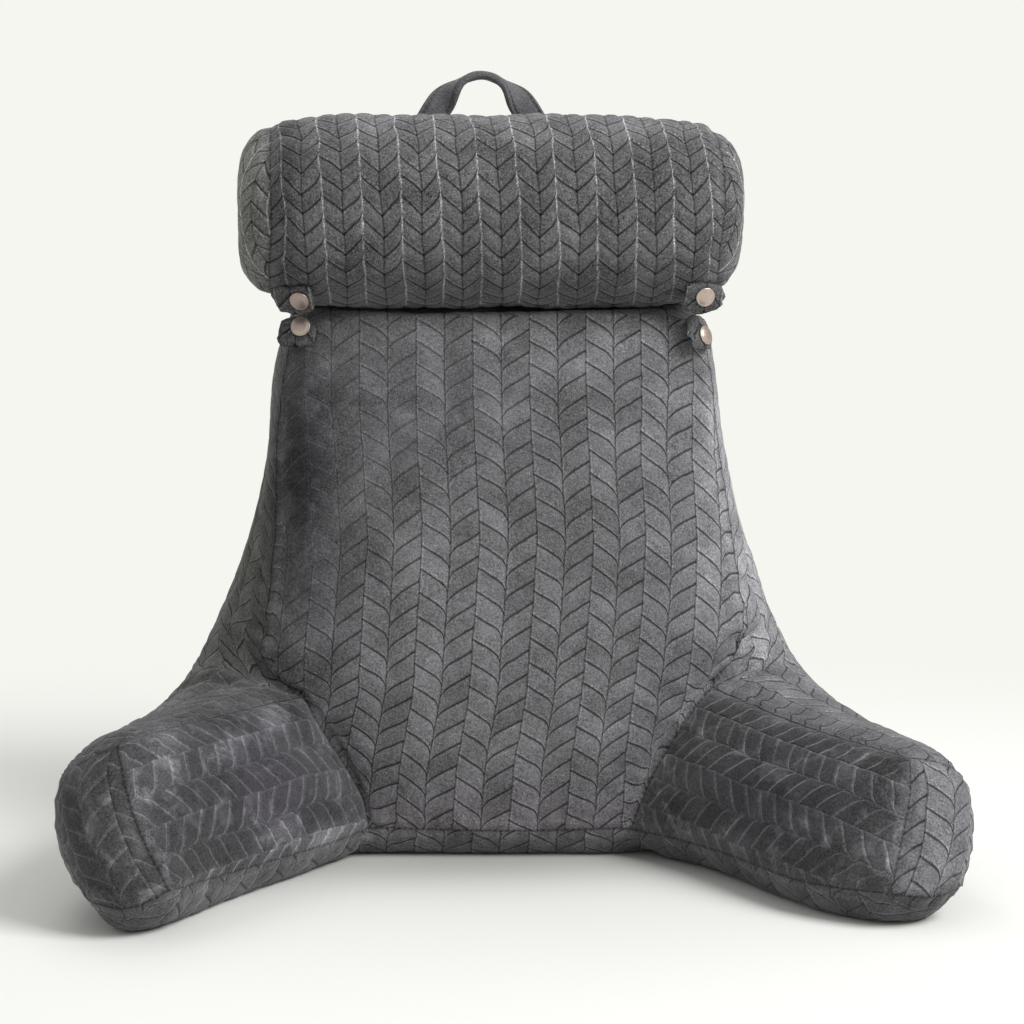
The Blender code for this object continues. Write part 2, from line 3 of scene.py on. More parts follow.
import bpy
import numpy as np
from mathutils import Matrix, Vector


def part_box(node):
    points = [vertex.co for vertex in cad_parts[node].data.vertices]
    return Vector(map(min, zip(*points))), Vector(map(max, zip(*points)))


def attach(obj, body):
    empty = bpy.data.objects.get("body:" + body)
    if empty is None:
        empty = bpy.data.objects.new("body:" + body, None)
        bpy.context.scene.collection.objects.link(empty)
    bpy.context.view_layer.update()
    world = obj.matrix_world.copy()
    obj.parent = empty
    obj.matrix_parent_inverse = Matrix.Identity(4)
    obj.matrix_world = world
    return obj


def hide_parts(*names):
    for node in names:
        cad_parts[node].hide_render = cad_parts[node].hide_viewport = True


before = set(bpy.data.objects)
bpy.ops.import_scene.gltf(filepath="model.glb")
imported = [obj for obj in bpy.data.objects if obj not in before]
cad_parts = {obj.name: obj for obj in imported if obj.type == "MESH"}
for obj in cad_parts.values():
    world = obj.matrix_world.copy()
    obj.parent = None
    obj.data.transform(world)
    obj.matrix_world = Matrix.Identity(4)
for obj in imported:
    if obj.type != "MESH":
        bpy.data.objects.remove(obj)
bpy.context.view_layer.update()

# camera first: a long lens a little left of the middle, just above the pillow's waist
view = {"place": (-0.1369, -2.0492, 0.5115), "turn": (84.2, 0.0, -4.0), "lens": 85.0, "sensor": 36.0}


def makeCamera():
    # stands and turns as view says
    camera = bpy.data.objects.new("camera", bpy.data.cameras.new("camera"))
    bpy.context.scene.collection.objects.link(camera)
    camera.location = view["place"]
    camera.rotation_euler = [math.radians(angle) for angle in view["turn"]]
    camera.data.lens = view["lens"]
    camera.data.sensor_width = view["sensor"]
    bpy.context.scene.camera = camera


makeCamera()
print("camera set")

# sewn lines of the cushion, left and right arm's side, in millimetres of the pattern's own frame
sewnLines = {
    "frontSide": (   # backrest front to side gusset, from the top corner to the arm's root
        [(-187, 57, 457), (-190, 52, 405), (-195, 44, 354), (-196, 35, 293),
         (-203, 24, 216), (-210, 13, 171), (-197, 7, 153), (-173, 5, 141)],
        [(189, 57, 457), (190, 52, 405), (194, 44, 354), (201, 35, 304),
         (209, 25, 241), (218, 16, 189), (207, 11, 164), (185, 9, 145)]),
    "frontArm": (   # backrest front to inner arm panel, from the arm's root down
        [(-173, 5, 141), (-158, -2, 116), (-141, -7, 90), (-122, -12, 52), (-117, -15, 29)],
        [(185, 9, 145), (158, -2, 114), (138, -11, 86), (120, -22, 51), (110, -29, 28)]),
    "armInnerTop": (   # arm's top to inner arm panel, from the root to the arm's end
        [(-173, 5, 141), (-206, -42, 141), (-241, -101, 143), (-278, -161, 145), (-313, -216, 144)],
        [(185, 9, 145), (213, -39, 135), (247, -101, 128), (279, -166, 126), (306, -225, 127)]),
    "armInnerLow": (   # inner arm panel to the base, from the backrest to the arm's end
        [(-117, -15, 29), (-147, -57, 28), (-182, -106, 29), (-241, -191, 32), (-271, -262, 39)],
        [(110, -29, 28), (147, -69, 27), (180, -129, 28), (225, -225, 29), (281, -276, 30)]),
    "endInner": (   # arm's end panel to inner arm panel, from the top down
        [(-313, -216, 144), (-307, -232, 118), (-295, -248, 83), (-271, -262, 39)],
        [(306, -225, 127), (305, -237, 106), (296, -253, 72), (281, -276, 30)]),
    "endOuter": (   # arm's end panel to the outer arm side, from the top down
        [(-360, -189, 116), (-362, -202, 92), (-355, -221, 61), (-335, -248, 28)],
        [(356, -189, 107), (361, -204, 88), (358, -224, 59), (345, -250, 28)]),
    "endTop": (   # arm's end panel to the arm's top, from the inner side out
        [(-313, -216, 144), (-335, -208, 131), (-360, -189, 116)],
        [(306, -225, 127), (333, -214, 119), (356, -189, 107)]),
    "endLow": (   # arm's end panel to the base, from the inner side out
        [(-271, -262, 39), (-302, -263, 29), (-335, -248, 28)],
        [(281, -276, 30), (313, -271, 28), (345, -250, 28)]),
    "armOuterTop": (   # arm's top to the outer arm side, from the back to the arm's end
        [(-287, 64, 129), (-315, 0, 112), (-337, -78, 104), (-360, -189, 116)],
        [(283, 60, 129), (311, 0, 109), (334, -78, 99), (356, -189, 107)]),
    "armOuterLow": (   # outer arm side to the base, from the back to the arm's end
        [(-272, 64, 28), (-300, 0, 28), (-328, -92, 28), (-335, -248, 28)],
        [(270, 61, 28), (298, 0, 28), (328, -92, 28), (345, -250, 28)]),
    "backSide": (   # side gusset to the back panel, from the top down to the arm's root
        [(-158, 175, 600), (-169, 167, 515), (-181, 155, 423), (-201, 143, 322),
         (-230, 129, 230), (-262, 101, 167), (-287, 64, 129)],
        [(156, 175, 600), (166, 167, 515), (177, 155, 423), (197, 143, 322),
         (226, 129, 235), (258, 99, 171), (283, 60, 129)]),
    "topSide": (   # top panel to the side gusset, from the front corner back and up behind the roll
        [(-187, 57, 457), (-180, 101, 467), (-171, 138, 497), (-162, 153, 547),
         (-156, 156, 593), (-158, 175, 600)],
        [(189, 57, 457), (181, 101, 467), (171, 138, 497), (162, 153, 547),
         (155, 156, 593), (156, 175, 600)]),
    "rootCrease": (   # unsewn fold where the side gusset turns into the arm's top
        [(-173, 5, 141), (-223, 28, 145), (-258, 48, 140), (-287, 64, 129)],
        [(185, 9, 145), (224, 28, 145), (256, 44, 140), (283, 60, 129)]),
    "backCorner": (   # unsewn line down the back, below the arm's root
        [(-287, 64, 129), (-285, 66, 81), (-272, 64, 28)],
        [(283, 60, 129), (282, 62, 81), (270, 61, 28)]),
}
acrossLines = {   # from the left side to the right side, in millimetres
    "frontTop": [(-187, 57, 457), (-101, 48, 463), (0, 46, 463), (101, 48, 463), (189, 57, 457)],
    "frontWaist": [(-173, 5, 141), (0, -4, 143), (185, 9, 145)],
    "frontLow": [(-117, -15, 29), (0, -24, 27), (110, -29, 28)],
    "backTop": [(-158, 175, 600), (-83, 177, 607), (0, 178, 609), (83, 177, 607), (156, 175, 600)],
    "backWaist": [(-287, 64, 129), (-221, 112, 136), (0, 136, 138), (219, 110, 136), (283, 60, 129)],
    "backLow": [(-272, 64, 28), (-210, 109, 28), (0, 129, 28), (210, 107, 28), (270, 61, 28)],
}

# the neck roll; its place also ties the pattern's frame to the model's
roll = {
    "axis": (0.0645, 0.5595), "half": 0.2205, "radius": 0.0842, "centreX": -0.0066, "power": 4.8,
    "cellsRound": 300, "cellsAlong": 168,
    "endSeams": (-0.1965, 0.1890),      # where the end rounds are sewn on
    "seamWidth": 0.0050, "seamDepth": 0.0014, "flatBySeam": 0.003,
    "puff": 0.0019, "endPuff": 0.35, "grooveWidth": 0.0027, "lineDepth": 0.65,
    "twist": 0.0036,                    # how far the columns shift along the roll for each radian round it
    "clothStart": (0.0083, 0.002),      # where the first column and the first row lie
    # noise: depth, size, seed
    "pulledAcross": (0.0011, 0.045, 31), "pulledRound": (0.0022, 0.050, 32),
    "lump": (0.0013, 0.07, 22), "seamWander": (0.0018, 0.09, 21), "wanderReach": 0.02,
    "ridge": 0.0005, "ridgeAt": 0.009, "ridgeWidth": 0.005,
    "pucker": 0.0007, "puckers": 17, "puckerAt": 0.008, "puckerReach": 0.008, "puckerWander": (2, 0.05, 23),
}
rollLow, rollHigh = (np.array(corner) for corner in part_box("neck_roll"))
toFrame = (rollLow + rollHigh) / 2 - np.array([roll["centreX"], *roll["axis"]])


lineSteps = 400         # readings of a sewn line before it is cut into even steps
outlineSteps = 4000     # the same for the roll's outline
onSeam = 0.0004         # a point this near a seam belongs to it
blockSize = 3000        # points measured against the seams at a time
noiseWaves = 9          # slanted waves in a noise, and what brings their sum between -1 and 1
noiseScale = 4.2


# shared tools for shapes
def runningLength(points, axis=0):
    # length from the first point on, summed step by step
    steps = np.linalg.norm(np.diff(points, axis=axis), axis=-1)
    none = np.zeros_like(steps.take([0], axis=axis))
    return np.concatenate([none, np.cumsum(steps, axis=axis)], axis=axis)


def lineThrough(points, count):
    # cubic pieces through points in millimetres, slopes from their neighbours, read at count + 1 even steps
    points = np.array(points, float) / 1000
    knots = np.concatenate([[0.0], np.cumsum(np.linalg.norm(np.diff(points, axis=0), axis=1) ** 0.5)])
    dense = np.linspace(0.0, knots[-1], lineSteps)
    if len(points) > 2:
        slopes = np.gradient(points, knots, axis=0)
        span = np.clip(np.searchsorted(knots, dense, side="right") - 1, 0, len(knots) - 2)
        width = (knots[span + 1] - knots[span])[:, None]
        t = (dense - knots[span])[:, None] / width
        line = ((2 * t**3 - 3 * t**2 + 1) * points[span] + (t**3 - 2 * t**2 + t) * width * slopes[span]
                + (3 * t**2 - 2 * t**3) * points[span + 1] + (t**3 - t**2) * width * slopes[span + 1])
    else:
        line = points[0] + (points[1] - points[0]) * (dense / knots[-1])[:, None]
    length = runningLength(line)
    even = np.linspace(0.0, length[-1], count + 1)
    evenLine = np.stack([np.interp(even, length, line[:, k]) for k in range(3)], axis=1)
    evenLine[0], evenLine[-1] = points[0], points[-1]
    return evenLine


def gridBetween(first, last, start, end):
    # both ruled surfaces added, less the flat one through the four corners
    u = np.linspace(0.0, 1.0, len(first))[None, :, None]
    v = np.linspace(0.0, 1.0, len(start))[:, None, None]
    corners = ((1 - u) * (1 - v) * first[0] + u * (1 - v) * first[-1]
               + (1 - u) * v * last[0] + u * v * last[-1])
    grid = (1 - v) * first[None] + v * last[None] + (1 - u) * start[:, None] + u * end[:, None] - corners
    grid[0], grid[-1], grid[:, 0], grid[:, -1] = first, last, start, end
    return grid


def gridQuads(shape, start, flip):
    # four corner numbers for each cell of a grid whose points begin at start
    number = np.arange(shape[0] * shape[1]).reshape(shape) + start
    corners = [number[:-1, :-1], number[:-1, 1:], number[1:, 1:], number[1:, :-1]]
    quads = np.stack(corners, axis=-1).reshape(-1, 4)
    return quads[:, ::-1] if flip else quads


def weld(grids, flips, near=2e-5):
    # joins grids along equal points: returns the points, each grid point's number among them and the cells
    points = np.concatenate([grid.reshape(-1, 3) for grid in grids])
    starts = np.concatenate([[0], np.cumsum([grid.shape[0] * grid.shape[1] for grid in grids])])
    quads = np.concatenate([gridQuads(grid.shape[:2], start, flip)
                            for grid, start, flip in zip(grids, starts, flips)])
    _, first, number = np.unique(np.round(points / near).astype(np.int64), axis=0,
                                 return_index=True, return_inverse=True)
    return points[first], number.reshape(-1), quads, starts


def vertexNormals(points, cells):
    # each cell's diagonals crossed, summed at its corners
    facing = np.cross(points[cells[:, 2]] - points[cells[:, 0]], points[cells[:, 3]] - points[cells[:, 1]])
    total = np.stack([np.bincount(cells.ravel(), np.repeat(facing[:, k], 4), len(points))
                      for k in range(3)], axis=1)
    return total / np.maximum(np.linalg.norm(total, axis=1), 1e-12)[:, None]


def facingOut(points, cells, quads, middle):
    # cells and grid cells turned over where their normals look at the middle
    if float(np.mean(np.sum(vertexNormals(points, cells) * (points - middle), axis=1))) < 0:
        return cells[:, ::-1], quads[:, ::-1]
    return cells, quads


def neighbourPairs(cells):
    # each edge once, as two point numbers
    pairs = np.concatenate([cells[:, [k, (k + 1) % 4]] for k in range(4)])
    pairs = np.unique(np.sort(pairs, axis=1), axis=0)
    return pairs[pairs[:, 0] != pairs[:, 1]]


def averaged(values, pairs, loose, passes, share=0.5):
    # each loose value moves a share of the way to the mean of its neighbours, pass after pass
    values = values.copy()
    count = np.bincount(pairs.ravel(), minlength=len(values))
    for _ in range(passes):
        for k in range(values.shape[1]):
            near = (np.bincount(pairs[:, 0], values[pairs[:, 1], k], len(values))
                    + np.bincount(pairs[:, 1], values[pairs[:, 0], k], len(values))) / count
            values[loose, k] += share * (near[loose] - values[loose, k])
    return values


def softNoise(points, size, seed):
    # a sum of slanted waves of about one size, between -1 and 1
    random = np.random.default_rng(seed)
    total = np.zeros(len(points))
    for _ in range(noiseWaves):
        way = random.normal(size=3)
        way *= 2 * math.pi / (size * random.uniform(0.75, 1.4)) / np.linalg.norm(way)
        total += np.sin(points @ way + random.uniform(0, 2 * math.pi))
    return total / noiseScale


def pulled(points, noise):
    # noise of its own depth, size and seed
    depth, size, seed = noise
    return depth * softNoise(points, size, seed)


def fullTurn(sides):
    # even angles once round, and the first one again
    return np.append(np.linspace(0, 2 * math.pi, sides + 1)[:-1], 0.0)


def blob(points, at, reach):
    # one at a place in millimetres, falling away as a bell
    away = (points - np.array(at) / 1000) / (np.array(reach) / 1000)
    return np.exp(-np.sum(away * away, axis=1))


def bellAt(value, at, width):
    # one where the value is at, falling away as a bell
    return np.exp(-((value - at) / width) ** 2)


def distanceToLine(points, start, end):
    # distance to a straight line between two points in millimetres, and the share of the line passed
    start, end = np.array(start) / 1000, np.array(end) / 1000
    along = end - start
    share = np.clip((points - start) @ along / (along @ along), 0.0, 1.0)
    return np.linalg.norm(points - start - share[:, None] * along, axis=1), share


def makePiece(name, points, corners, uv=None, floats=None, colours=None):
    # corners: four numbers for each cell; a doubled number makes the cell a triangle at a pole
    welded, loops = corners
    keep = welded != np.roll(welded, -1, axis=1)
    count = keep.sum(axis=1)
    mesh = bpy.data.meshes.new(name)
    mesh.vertices.add(len(points))
    mesh.loops.add(int(count.sum()))
    mesh.polygons.add(len(count))
    mesh.vertices.foreach_set("co", points.astype(np.float32).ravel())
    mesh.loops.foreach_set("vertex_index", welded[keep].astype(np.int32))
    mesh.polygons.foreach_set("loop_start", (np.cumsum(count) - count).astype(np.int32))
    mesh.update(calc_edges=True)
    mesh.shade_smooth()
    if uv is not None:
        layer = mesh.uv_layers.new(name="cloth")
        layer.data.foreach_set("uv", uv[loops[keep]].astype(np.float32).ravel())
    for label, values in (floats or {}).items():
        data = mesh.attributes.new(label, "FLOAT", "POINT").data
        data.foreach_set("value", values.astype(np.float32))
    for label, values in (colours or {}).items():
        rgba = np.concatenate([values, np.ones((len(values), 1))], axis=1)
        data = mesh.attributes.new(label, "FLOAT_COLOR", "POINT").data
        data.foreach_set("color", rgba.astype(np.float32).ravel())
    piece = bpy.data.objects.new(name, mesh)
    bpy.context.scene.collection.objects.link(piece)
    return piece


# the pressed leaf pattern: columns of slanting cells that lean the other way in each next column
bodyLeaves = {"column": 0.0247, "row": 0.0202, "slope": 0.60, "stagger": 0.5,
              "curlLow": 0.24, "curlHigh": 0.0}
rollLeaves = {"column": 0.0166, "row": 0.0188, "slope": 0.92, "stagger": 0.0,
              "curlLow": 0.0, "curlHigh": 0.42}
curlReach = 0.085       # share of a column in which a groove bends over to the column's line
reliefMiddle = 0.6      # share of the puff that lies below the smooth cloth


def leafField(u, v, leaves):
    # signed distance to the nearest slanting groove, and distance to the nearest column line
    share = u / leaves["column"]
    k = np.floor(share)
    s = share - k
    odd = np.mod(k, 2)
    slanted = (2 * odd - 1) * leaves["slope"] * leaves["column"] * (s - 0.5)
    low = np.where(odd > 0.5, 1 - s, s)
    curl = (leaves["curlLow"] * np.exp(-low / curlReach)
            - leaves["curlHigh"] * (1 - odd) * np.exp(-(1 - s) / curlReach)) * leaves["row"]
    w = v - slanted - odd * leaves["stagger"] * leaves["row"] - curl
    groove = (w - np.round(w / leaves["row"]) * leaves["row"]) / math.hypot(1.0, leaves["slope"])
    return groove, np.minimum(s, 1 - s) * leaves["column"]


def leafRelief(cloth, leaves, sizes):
    # cells stand up by puff between grooves that are round valleys
    groove, line = leafField(cloth[:, 0], cloth[:, 1], leaves)
    cell = 1 - bellAt(groove, 0, sizes["grooveWidth"])
    edge = 1 - sizes["lineDepth"] * bellAt(line, 0, sizes["grooveWidth"])
    return sizes["puff"] * (cell * edge - reliefMiddle)


# the cushion with its arms
cushion = {
    "cells": {"down": 106, "drop": 40, "along": 75, "wide": 122, "deep": 50},
    "edgeReach": 0.024, "edgeRise": 0.0108,      # tight rounding beside a seam
    "crownReach": 0.166, "crownRise": 0.031,     # the broad crown of the stuffing
    "softening": 330, "evening": 45, "seamFill": 0.75, "seamFillReach": 0.0065,
    "bandHeight": 0.031, "bandReach": 0.039, "bandFade": 0.028,   # the base's hanging border
    "puff": 0.0009, "grooveWidth": 0.0026, "lineDepth": 0.55, "flatBySeam": 0.003,
    "lump": (0.0016, 0.075, 5), "lumpFlat": 0.02,                 # noise: depth, size, seed
    "pucker": 0.0008, "puckerPitch": 0.019, "puckerAt": 0.007, "puckerReach": 0.006,
    "puckerWander": (2.2, 0.06, 3), "easing": 22,
    "seamRidge": 0.0007, "ridgeAt": 0.0060, "ridgeWidth": 0.0030,
    "seamValley": 0.0016, "valleyWidth": 0.0028,
    "lean": 0.018, "leanFrom": 0.20, "leanOver": 0.20,    # the front's columns lean right
    "foldDepth": 1.15, "foldRim": 0.45, "foldRimAt": 1.9, "foldEnds": 0.35, "foldClip": 0.08,
    "rollGap": 0.0045, "patternGap": 0.0035, "underFloor": 0.004, "ceiling": 0.6147,
}
lineKinds = {"down": "frontSide backSide", "drop": "frontArm backCorner endInner endOuter",
             "along": "armInnerTop armInnerLow armOuterTop armOuterLow",
             "deep": "endTop endLow topSide rootCrease"}
lineCells = {line: kind for kind, lines in lineKinds.items() for line in lines.split()}
unsewn = ("rootCrease", "backCorner", "frontWaist", "backWaist")
hidden = "frontTop"      # this seam is turned in under the roll and pulls in no valley

# places where the stuffing gives way, in millimetres: centre, reach, depth
dents = [
    ((204, 11, 167), 31, 8), ((-208, 18, 153), 28, 7), ((-152, -28, 106), 41, 5),
    ((152, -29, 103), 41, 5), ((-180, 55, 440), 22, 5), ((183, 55, 440), 22, 5)]

# folds of the cloth, in millimetres: from, to, half width, depth
folds = [
    ((-196, 0, 190), (-235, 60, 215), 7.5, 4.5), ((-205, 10, 230), (-222, 70, 262), 6.5, 3),
    ((-200, 20, 275), (-212, 70, 292), 6, 2.2), ((-215, -20, 148), (-275, 20, 150), 8, 4.5),
    ((205, 5, 182), (245, 60, 190), 8, 5), ((210, 15, 225), (235, 70, 240), 7, 3),
    ((215, -30, 142), (275, 10, 138), 8, 4.5), ((-160, -10, 128), (-120, -20, 150), 8.5, 3.5),
    ((165, -10, 126), (125, -20, 150), 8.5, 3.5), ((-175, -50, 75), (-200, -75, 105), 8, 3),
    ((170, -60, 75), (200, -85, 100), 8, 3), ((-290, -200, 60), (-275, -185, 95), 7.5, 2.5),
    ((300, -205, 55), (280, -190, 88), 7.5, 2.5)]


def cutPanels(cells):
    # every panel as a grid between its lines; grain 0 runs its columns down the rows, 1 along the columns
    across = {name: lineThrough(points, cells["wide"]) for name, points in acrossLines.items()}
    edges, panels = [], []

    def panel(name, first, last, start, end, out, grain, follows):
        panels.append({"name": name, "grid": gridBetween(first, last, start, end),
                       "out": np.array(out, float), "grain": grain, "follows": follows})

    for side, hand, tip in (("left", -1.0, 0), ("right", 1.0, -1)):
        e = {name: lineThrough(sewnLines[name][tip], cells[kind]) for name, kind in lineCells.items()}
        edges.append(e)
        ends = [acrossLines[name][tip] for name in ("frontLow", "backLow")]
        e["baseSide"] = lineThrough(ends, cells["deep"])
        for name, lines, out, grain, follows in (
                ("inner", ("armInnerTop", "armInnerLow", "frontArm", "endInner"), (-hand, 0, 0), 1, None),
                ("end", ("endTop", "endLow", "endInner", "endOuter"), (0, -1, 0), 0, None),
                ("gusset", ("frontSide", "backSide", "topSide", "rootCrease"), (hand, 0, 0), 1, None),
                ("top", ("armInnerTop", "armOuterTop", "rootCrease", "endTop"), (0, 0, 1), 1, "gusset"),
                ("outer", ("armOuterTop", "armOuterLow", "backCorner", "endOuter"), (hand, 0, 0), 1, None),
                ("base", ("armInnerLow", "armOuterLow", "baseSide", "endLow"), (0, 0, -1), 0, None)):
            panel(name + side, *(e[line] for line in lines), out, grain, follows and follows + side)
    for name, first, last, sides, out, follows in (
            ("front", "frontTop", "frontWaist", "frontSide", (0, -1, 0), None),
            ("frontLow", "frontWaist", "frontLow", "frontArm", (0, -1, 0), "front"),
            ("back", "backTop", "backWaist", "backSide", (0, 1, 0), None),
            ("backLow", "backWaist", "backLow", "backCorner", (0, 1, 0), "back"),
            ("crown", "frontTop", "backTop", "topSide", (0, 0, 1), None),
            ("base", "frontLow", "backLow", "baseSide", (0, 0, -1), None)):
        panel(name, across[first], across[last], *(e[sides] for e in edges), out, 0, follows)

    sewn = [(name, acrossLines[name], "wide") for name in acrossLines if name not in unsewn]
    sewn += [(name, sewnLines[name][tip], kind) for tip in (0, 1)
             for name, kind in lineCells.items() if name not in unsewn]
    lines = [lineThrough(points, 3 * cells[kind]) for _, points, kind in sewn]
    shows = [np.full(len(line), name != hidden) for line, (name, _, _) in zip(lines, sewn)]
    lengths = [runningLength(line) for line in lines]
    return panels, np.concatenate(lines), np.concatenate(lengths), np.concatenate(shows)


def nearestSeam(points, seamPoints):
    # each point's nearest seam point, by squared lengths from the product rule in blocks, and how far it is
    nearest = np.empty(len(points), int)
    size = np.sum(seamPoints**2, axis=1)
    for start in range(0, len(points), blockSize):
        block = slice(start, start + blockSize)
        nearest[block] = np.argmin(size[None] - 2 * points[block] @ seamPoints.T, axis=1)
    return nearest, np.linalg.norm(points - seamPoints[nearest], axis=1)


def stuffedRise(distance, shown):
    # quick rounding by the shown seams, then a sine-squared crown from every seam
    edge = 1 - (1 - np.minimum(shown / cushion["edgeReach"], 1)) ** 2
    crown = np.sin(math.pi / 2 * np.minimum(distance / cushion["crownReach"], 1)) ** 2
    return cushion["edgeRise"] * edge + cushion["crownRise"] * crown


def borderMove(points, seamPoints, distance):
    # the border turns down in a quarter circle, and the rest of the base lies on the floor
    reach, height = cushion["bandReach"], cushion["bandHeight"]
    turn = math.pi / 2 * np.minimum(distance / reach, 1)
    outward = (seamPoints - points) / np.maximum(distance, 1e-6)[:, None]
    pull = np.where(distance < reach, distance - height * (1 - np.cos(turn)),
                    (reach - height) * np.exp((reach - distance) / cushion["bandFade"]))
    move = outward * pull[:, None]
    move[:, 2] -= (points[:, 2] + cushion["underFloor"]) * np.sin(turn)
    return move


def rollRadius(x):
    # the barrel is a superellipse: one less the share to a power, to one over that power
    share = np.minimum(np.abs(x - roll["centreX"]) / roll["half"], 1)
    return roll["radius"] * (1 - share ** roll["power"]) ** (1 / roll["power"])


def pressedByRoll(points, gap):
    # cloth inside the roll's radius is pushed straight out from its axis
    dy, dz = points[:, 1] - roll["axis"][0], points[:, 2] - roll["axis"][1]
    reach = np.maximum(np.hypot(dy, dz), 1e-9)
    beside = np.abs(points[:, 0] - roll["centreX"]) < roll["half"]
    radius = np.where(beside, rollRadius(points[:, 0]) + gap, 0)
    grow = np.maximum(radius / reach, 1)
    return np.stack([points[:, 0], roll["axis"][0] + dy * grow, roll["axis"][1] + dz * grow], axis=1)


def clothLengths(grid, grain, before, upright):
    # lengths over the stuffed cloth: across from the middle or first line, and on from the panel before;
    # an upright panel's columns start at their own heights
    overC, overR = runningLength(grid, 1), runningLength(grid, 0)
    if grain == 0:
        across = overC - overC[:, [overC.shape[1] // 2]]
        return across, overR + (before[1][-1][None, :] if before else 0)
    begin = before[1][:, -1] if before else (cushion["ceiling"] - grid[:, 0, 2]) * upright
    return overR, overC + begin[:, None]


def foldValley(points, start, end, width):
    # a valley along a line with a low rim on each side, deepest half way along
    c = cushion
    away, share = distanceToLine(points, start, end)
    valley = bellAt(away, 0, width) - c["foldRim"] * bellAt(away, c["foldRimAt"] * width, width)
    part = np.sin(math.pi * np.clip(share, c["foldClip"], 1 - c["foldClip"]))
    return valley * (c["foldEnds"] + (1 - c["foldEnds"]) * part)


# patches of tone, from brushed pile and from painted light and shade on sides turned toward or away from
# the lamp: centre, reach, gain of each colour in hundredths
pileAndPaintedLightPatches = [
    ((-174, 30, 335), (30, 50, 130), (-76, -76, -74)),     # left strip of the backrest: darker brushed pile and painted shade where the crown turns from the lamp
    ((-150, 20, 220), (40, 50, 60), (-18, -18, -17)), ((-95, 30, 370), (70, 50, 100), (-20, -20, -19)),
    # right strip of the backrest lighter: painted light where the crown turns toward the lamp
    ((168, 20, 300), (34, 50, 150), (34, 34, 35)),
    ((0, 20, 450), (170, 50, 16), 26),     # pale brushed top
    ((110, 20, 440), (22, 50, 16), 40), ((-10, 20, 442), (20, 50, 14), 32),
    ((-60, 0, 180), (80, 60, 110), 42),     # lower middle
    ((80, 0, 150), (70, 60, 60), 22),
    ((0, -30, 40), (120, 50, 22), (22, 13, 17)),     # warmer by the floor
    ((-225, 70, 290), (34, 90, 150), (-24, -22, -34)),     # olive left gusset, darkened with painted shade on the side turned from the lamp
    # more olive tone and painted shade where the left gusset meets the arm
    ((-285, 40, 150), (50, 60, 40), (-22, -20, -30)),
    ((225, 70, 310), (38, 90, 160), (140, 140, 142)),     # right gusset lighter: painted light on the side that faces the lamp
    # more painted light lower on the right side
    ((270, 20, 160), (60, 60, 50), 30),
    ((-287, -170, 135), (18, 30, 10), (200, 200, 202)),     # smudges along the left arm
    ((-205, -50, 128), (16, 30, 11), (170, 170, 176)), ((-238, -120, 118), (15, 30, 9), (150, 150, 156)),
    ((-190, -120, 50), (18, 30, 10), (140, 138, 140)), ((-150, -60, 34), (24, 30, 10), (150, 148, 146)),
    ((205, -110, 40), (30, 40, 8), 140),
    ((-215, -110, 85), (70, 90, 45), (-14, -18, -8)),     # violet inner sides
    ((225, -140, 80), (70, 90, 45), (-12, -15, -7)),
    ((-300, -235, 85), (12, 20, 50), 55),     # lighter by the left end seam
    ((345, -235, 75), (36, 50, 60), (22, 21, 24)),     # right arm's end lighter: painted light where it faces the lamp
    # right arm's top lighter with painted light from above, and its foot darker with painted shade by the
    # floor
    ((300, -110, 135), (50, 90, 22), (16, 16, 17)), ((300, -190, 20), (80, 100, 18), (-50, -50, -48))
]
# more places where the slanting grooves show as light brushed lines
lightLines = [
    ((-168, 30, 320), (30, 50, 130), 0.6), ((-90, 30, 370), (100, 50, 120), 0.28)]

# each panel's shade, partly the lie of its pile and partly painted light and shade for the way the panel
# faces the lamp (lighter right gusset and right end, darker left gusset, left end, right inner side and
# base), and how light its slanting grooves are
panelPileAndPaintedLight = {
    "innerleft": (0.46, 0.95), "topleft": (0.50, 0.60), "endleft": (0.45, 0.80), "innerright": (0.50, 0.85),
    "endright": (1.12, 0.0), "gussetright": (1.15, 0.0), "gussetleft": (0.86, 0.0),
    "baseleft": (0.75, 0.2), "baseright": (0.80, 0.2)}
mottle = ((0.09, 0.055, 11), (0.06, 0.021, 12))     # noise of the tone: depth, size, seed


def clothTone(points, table):
    # one plus gain times bell for each patch, all multiplied, and times one plus the mottle
    tone = np.ones((len(points), 3))
    for at, reach, gain in table:
        tone *= 1 + blob(points, at, reach)[:, None] * (np.array(gain) / 100)
    return tone * (1 + sum(pulled(points, noise) for noise in mottle))[:, None]


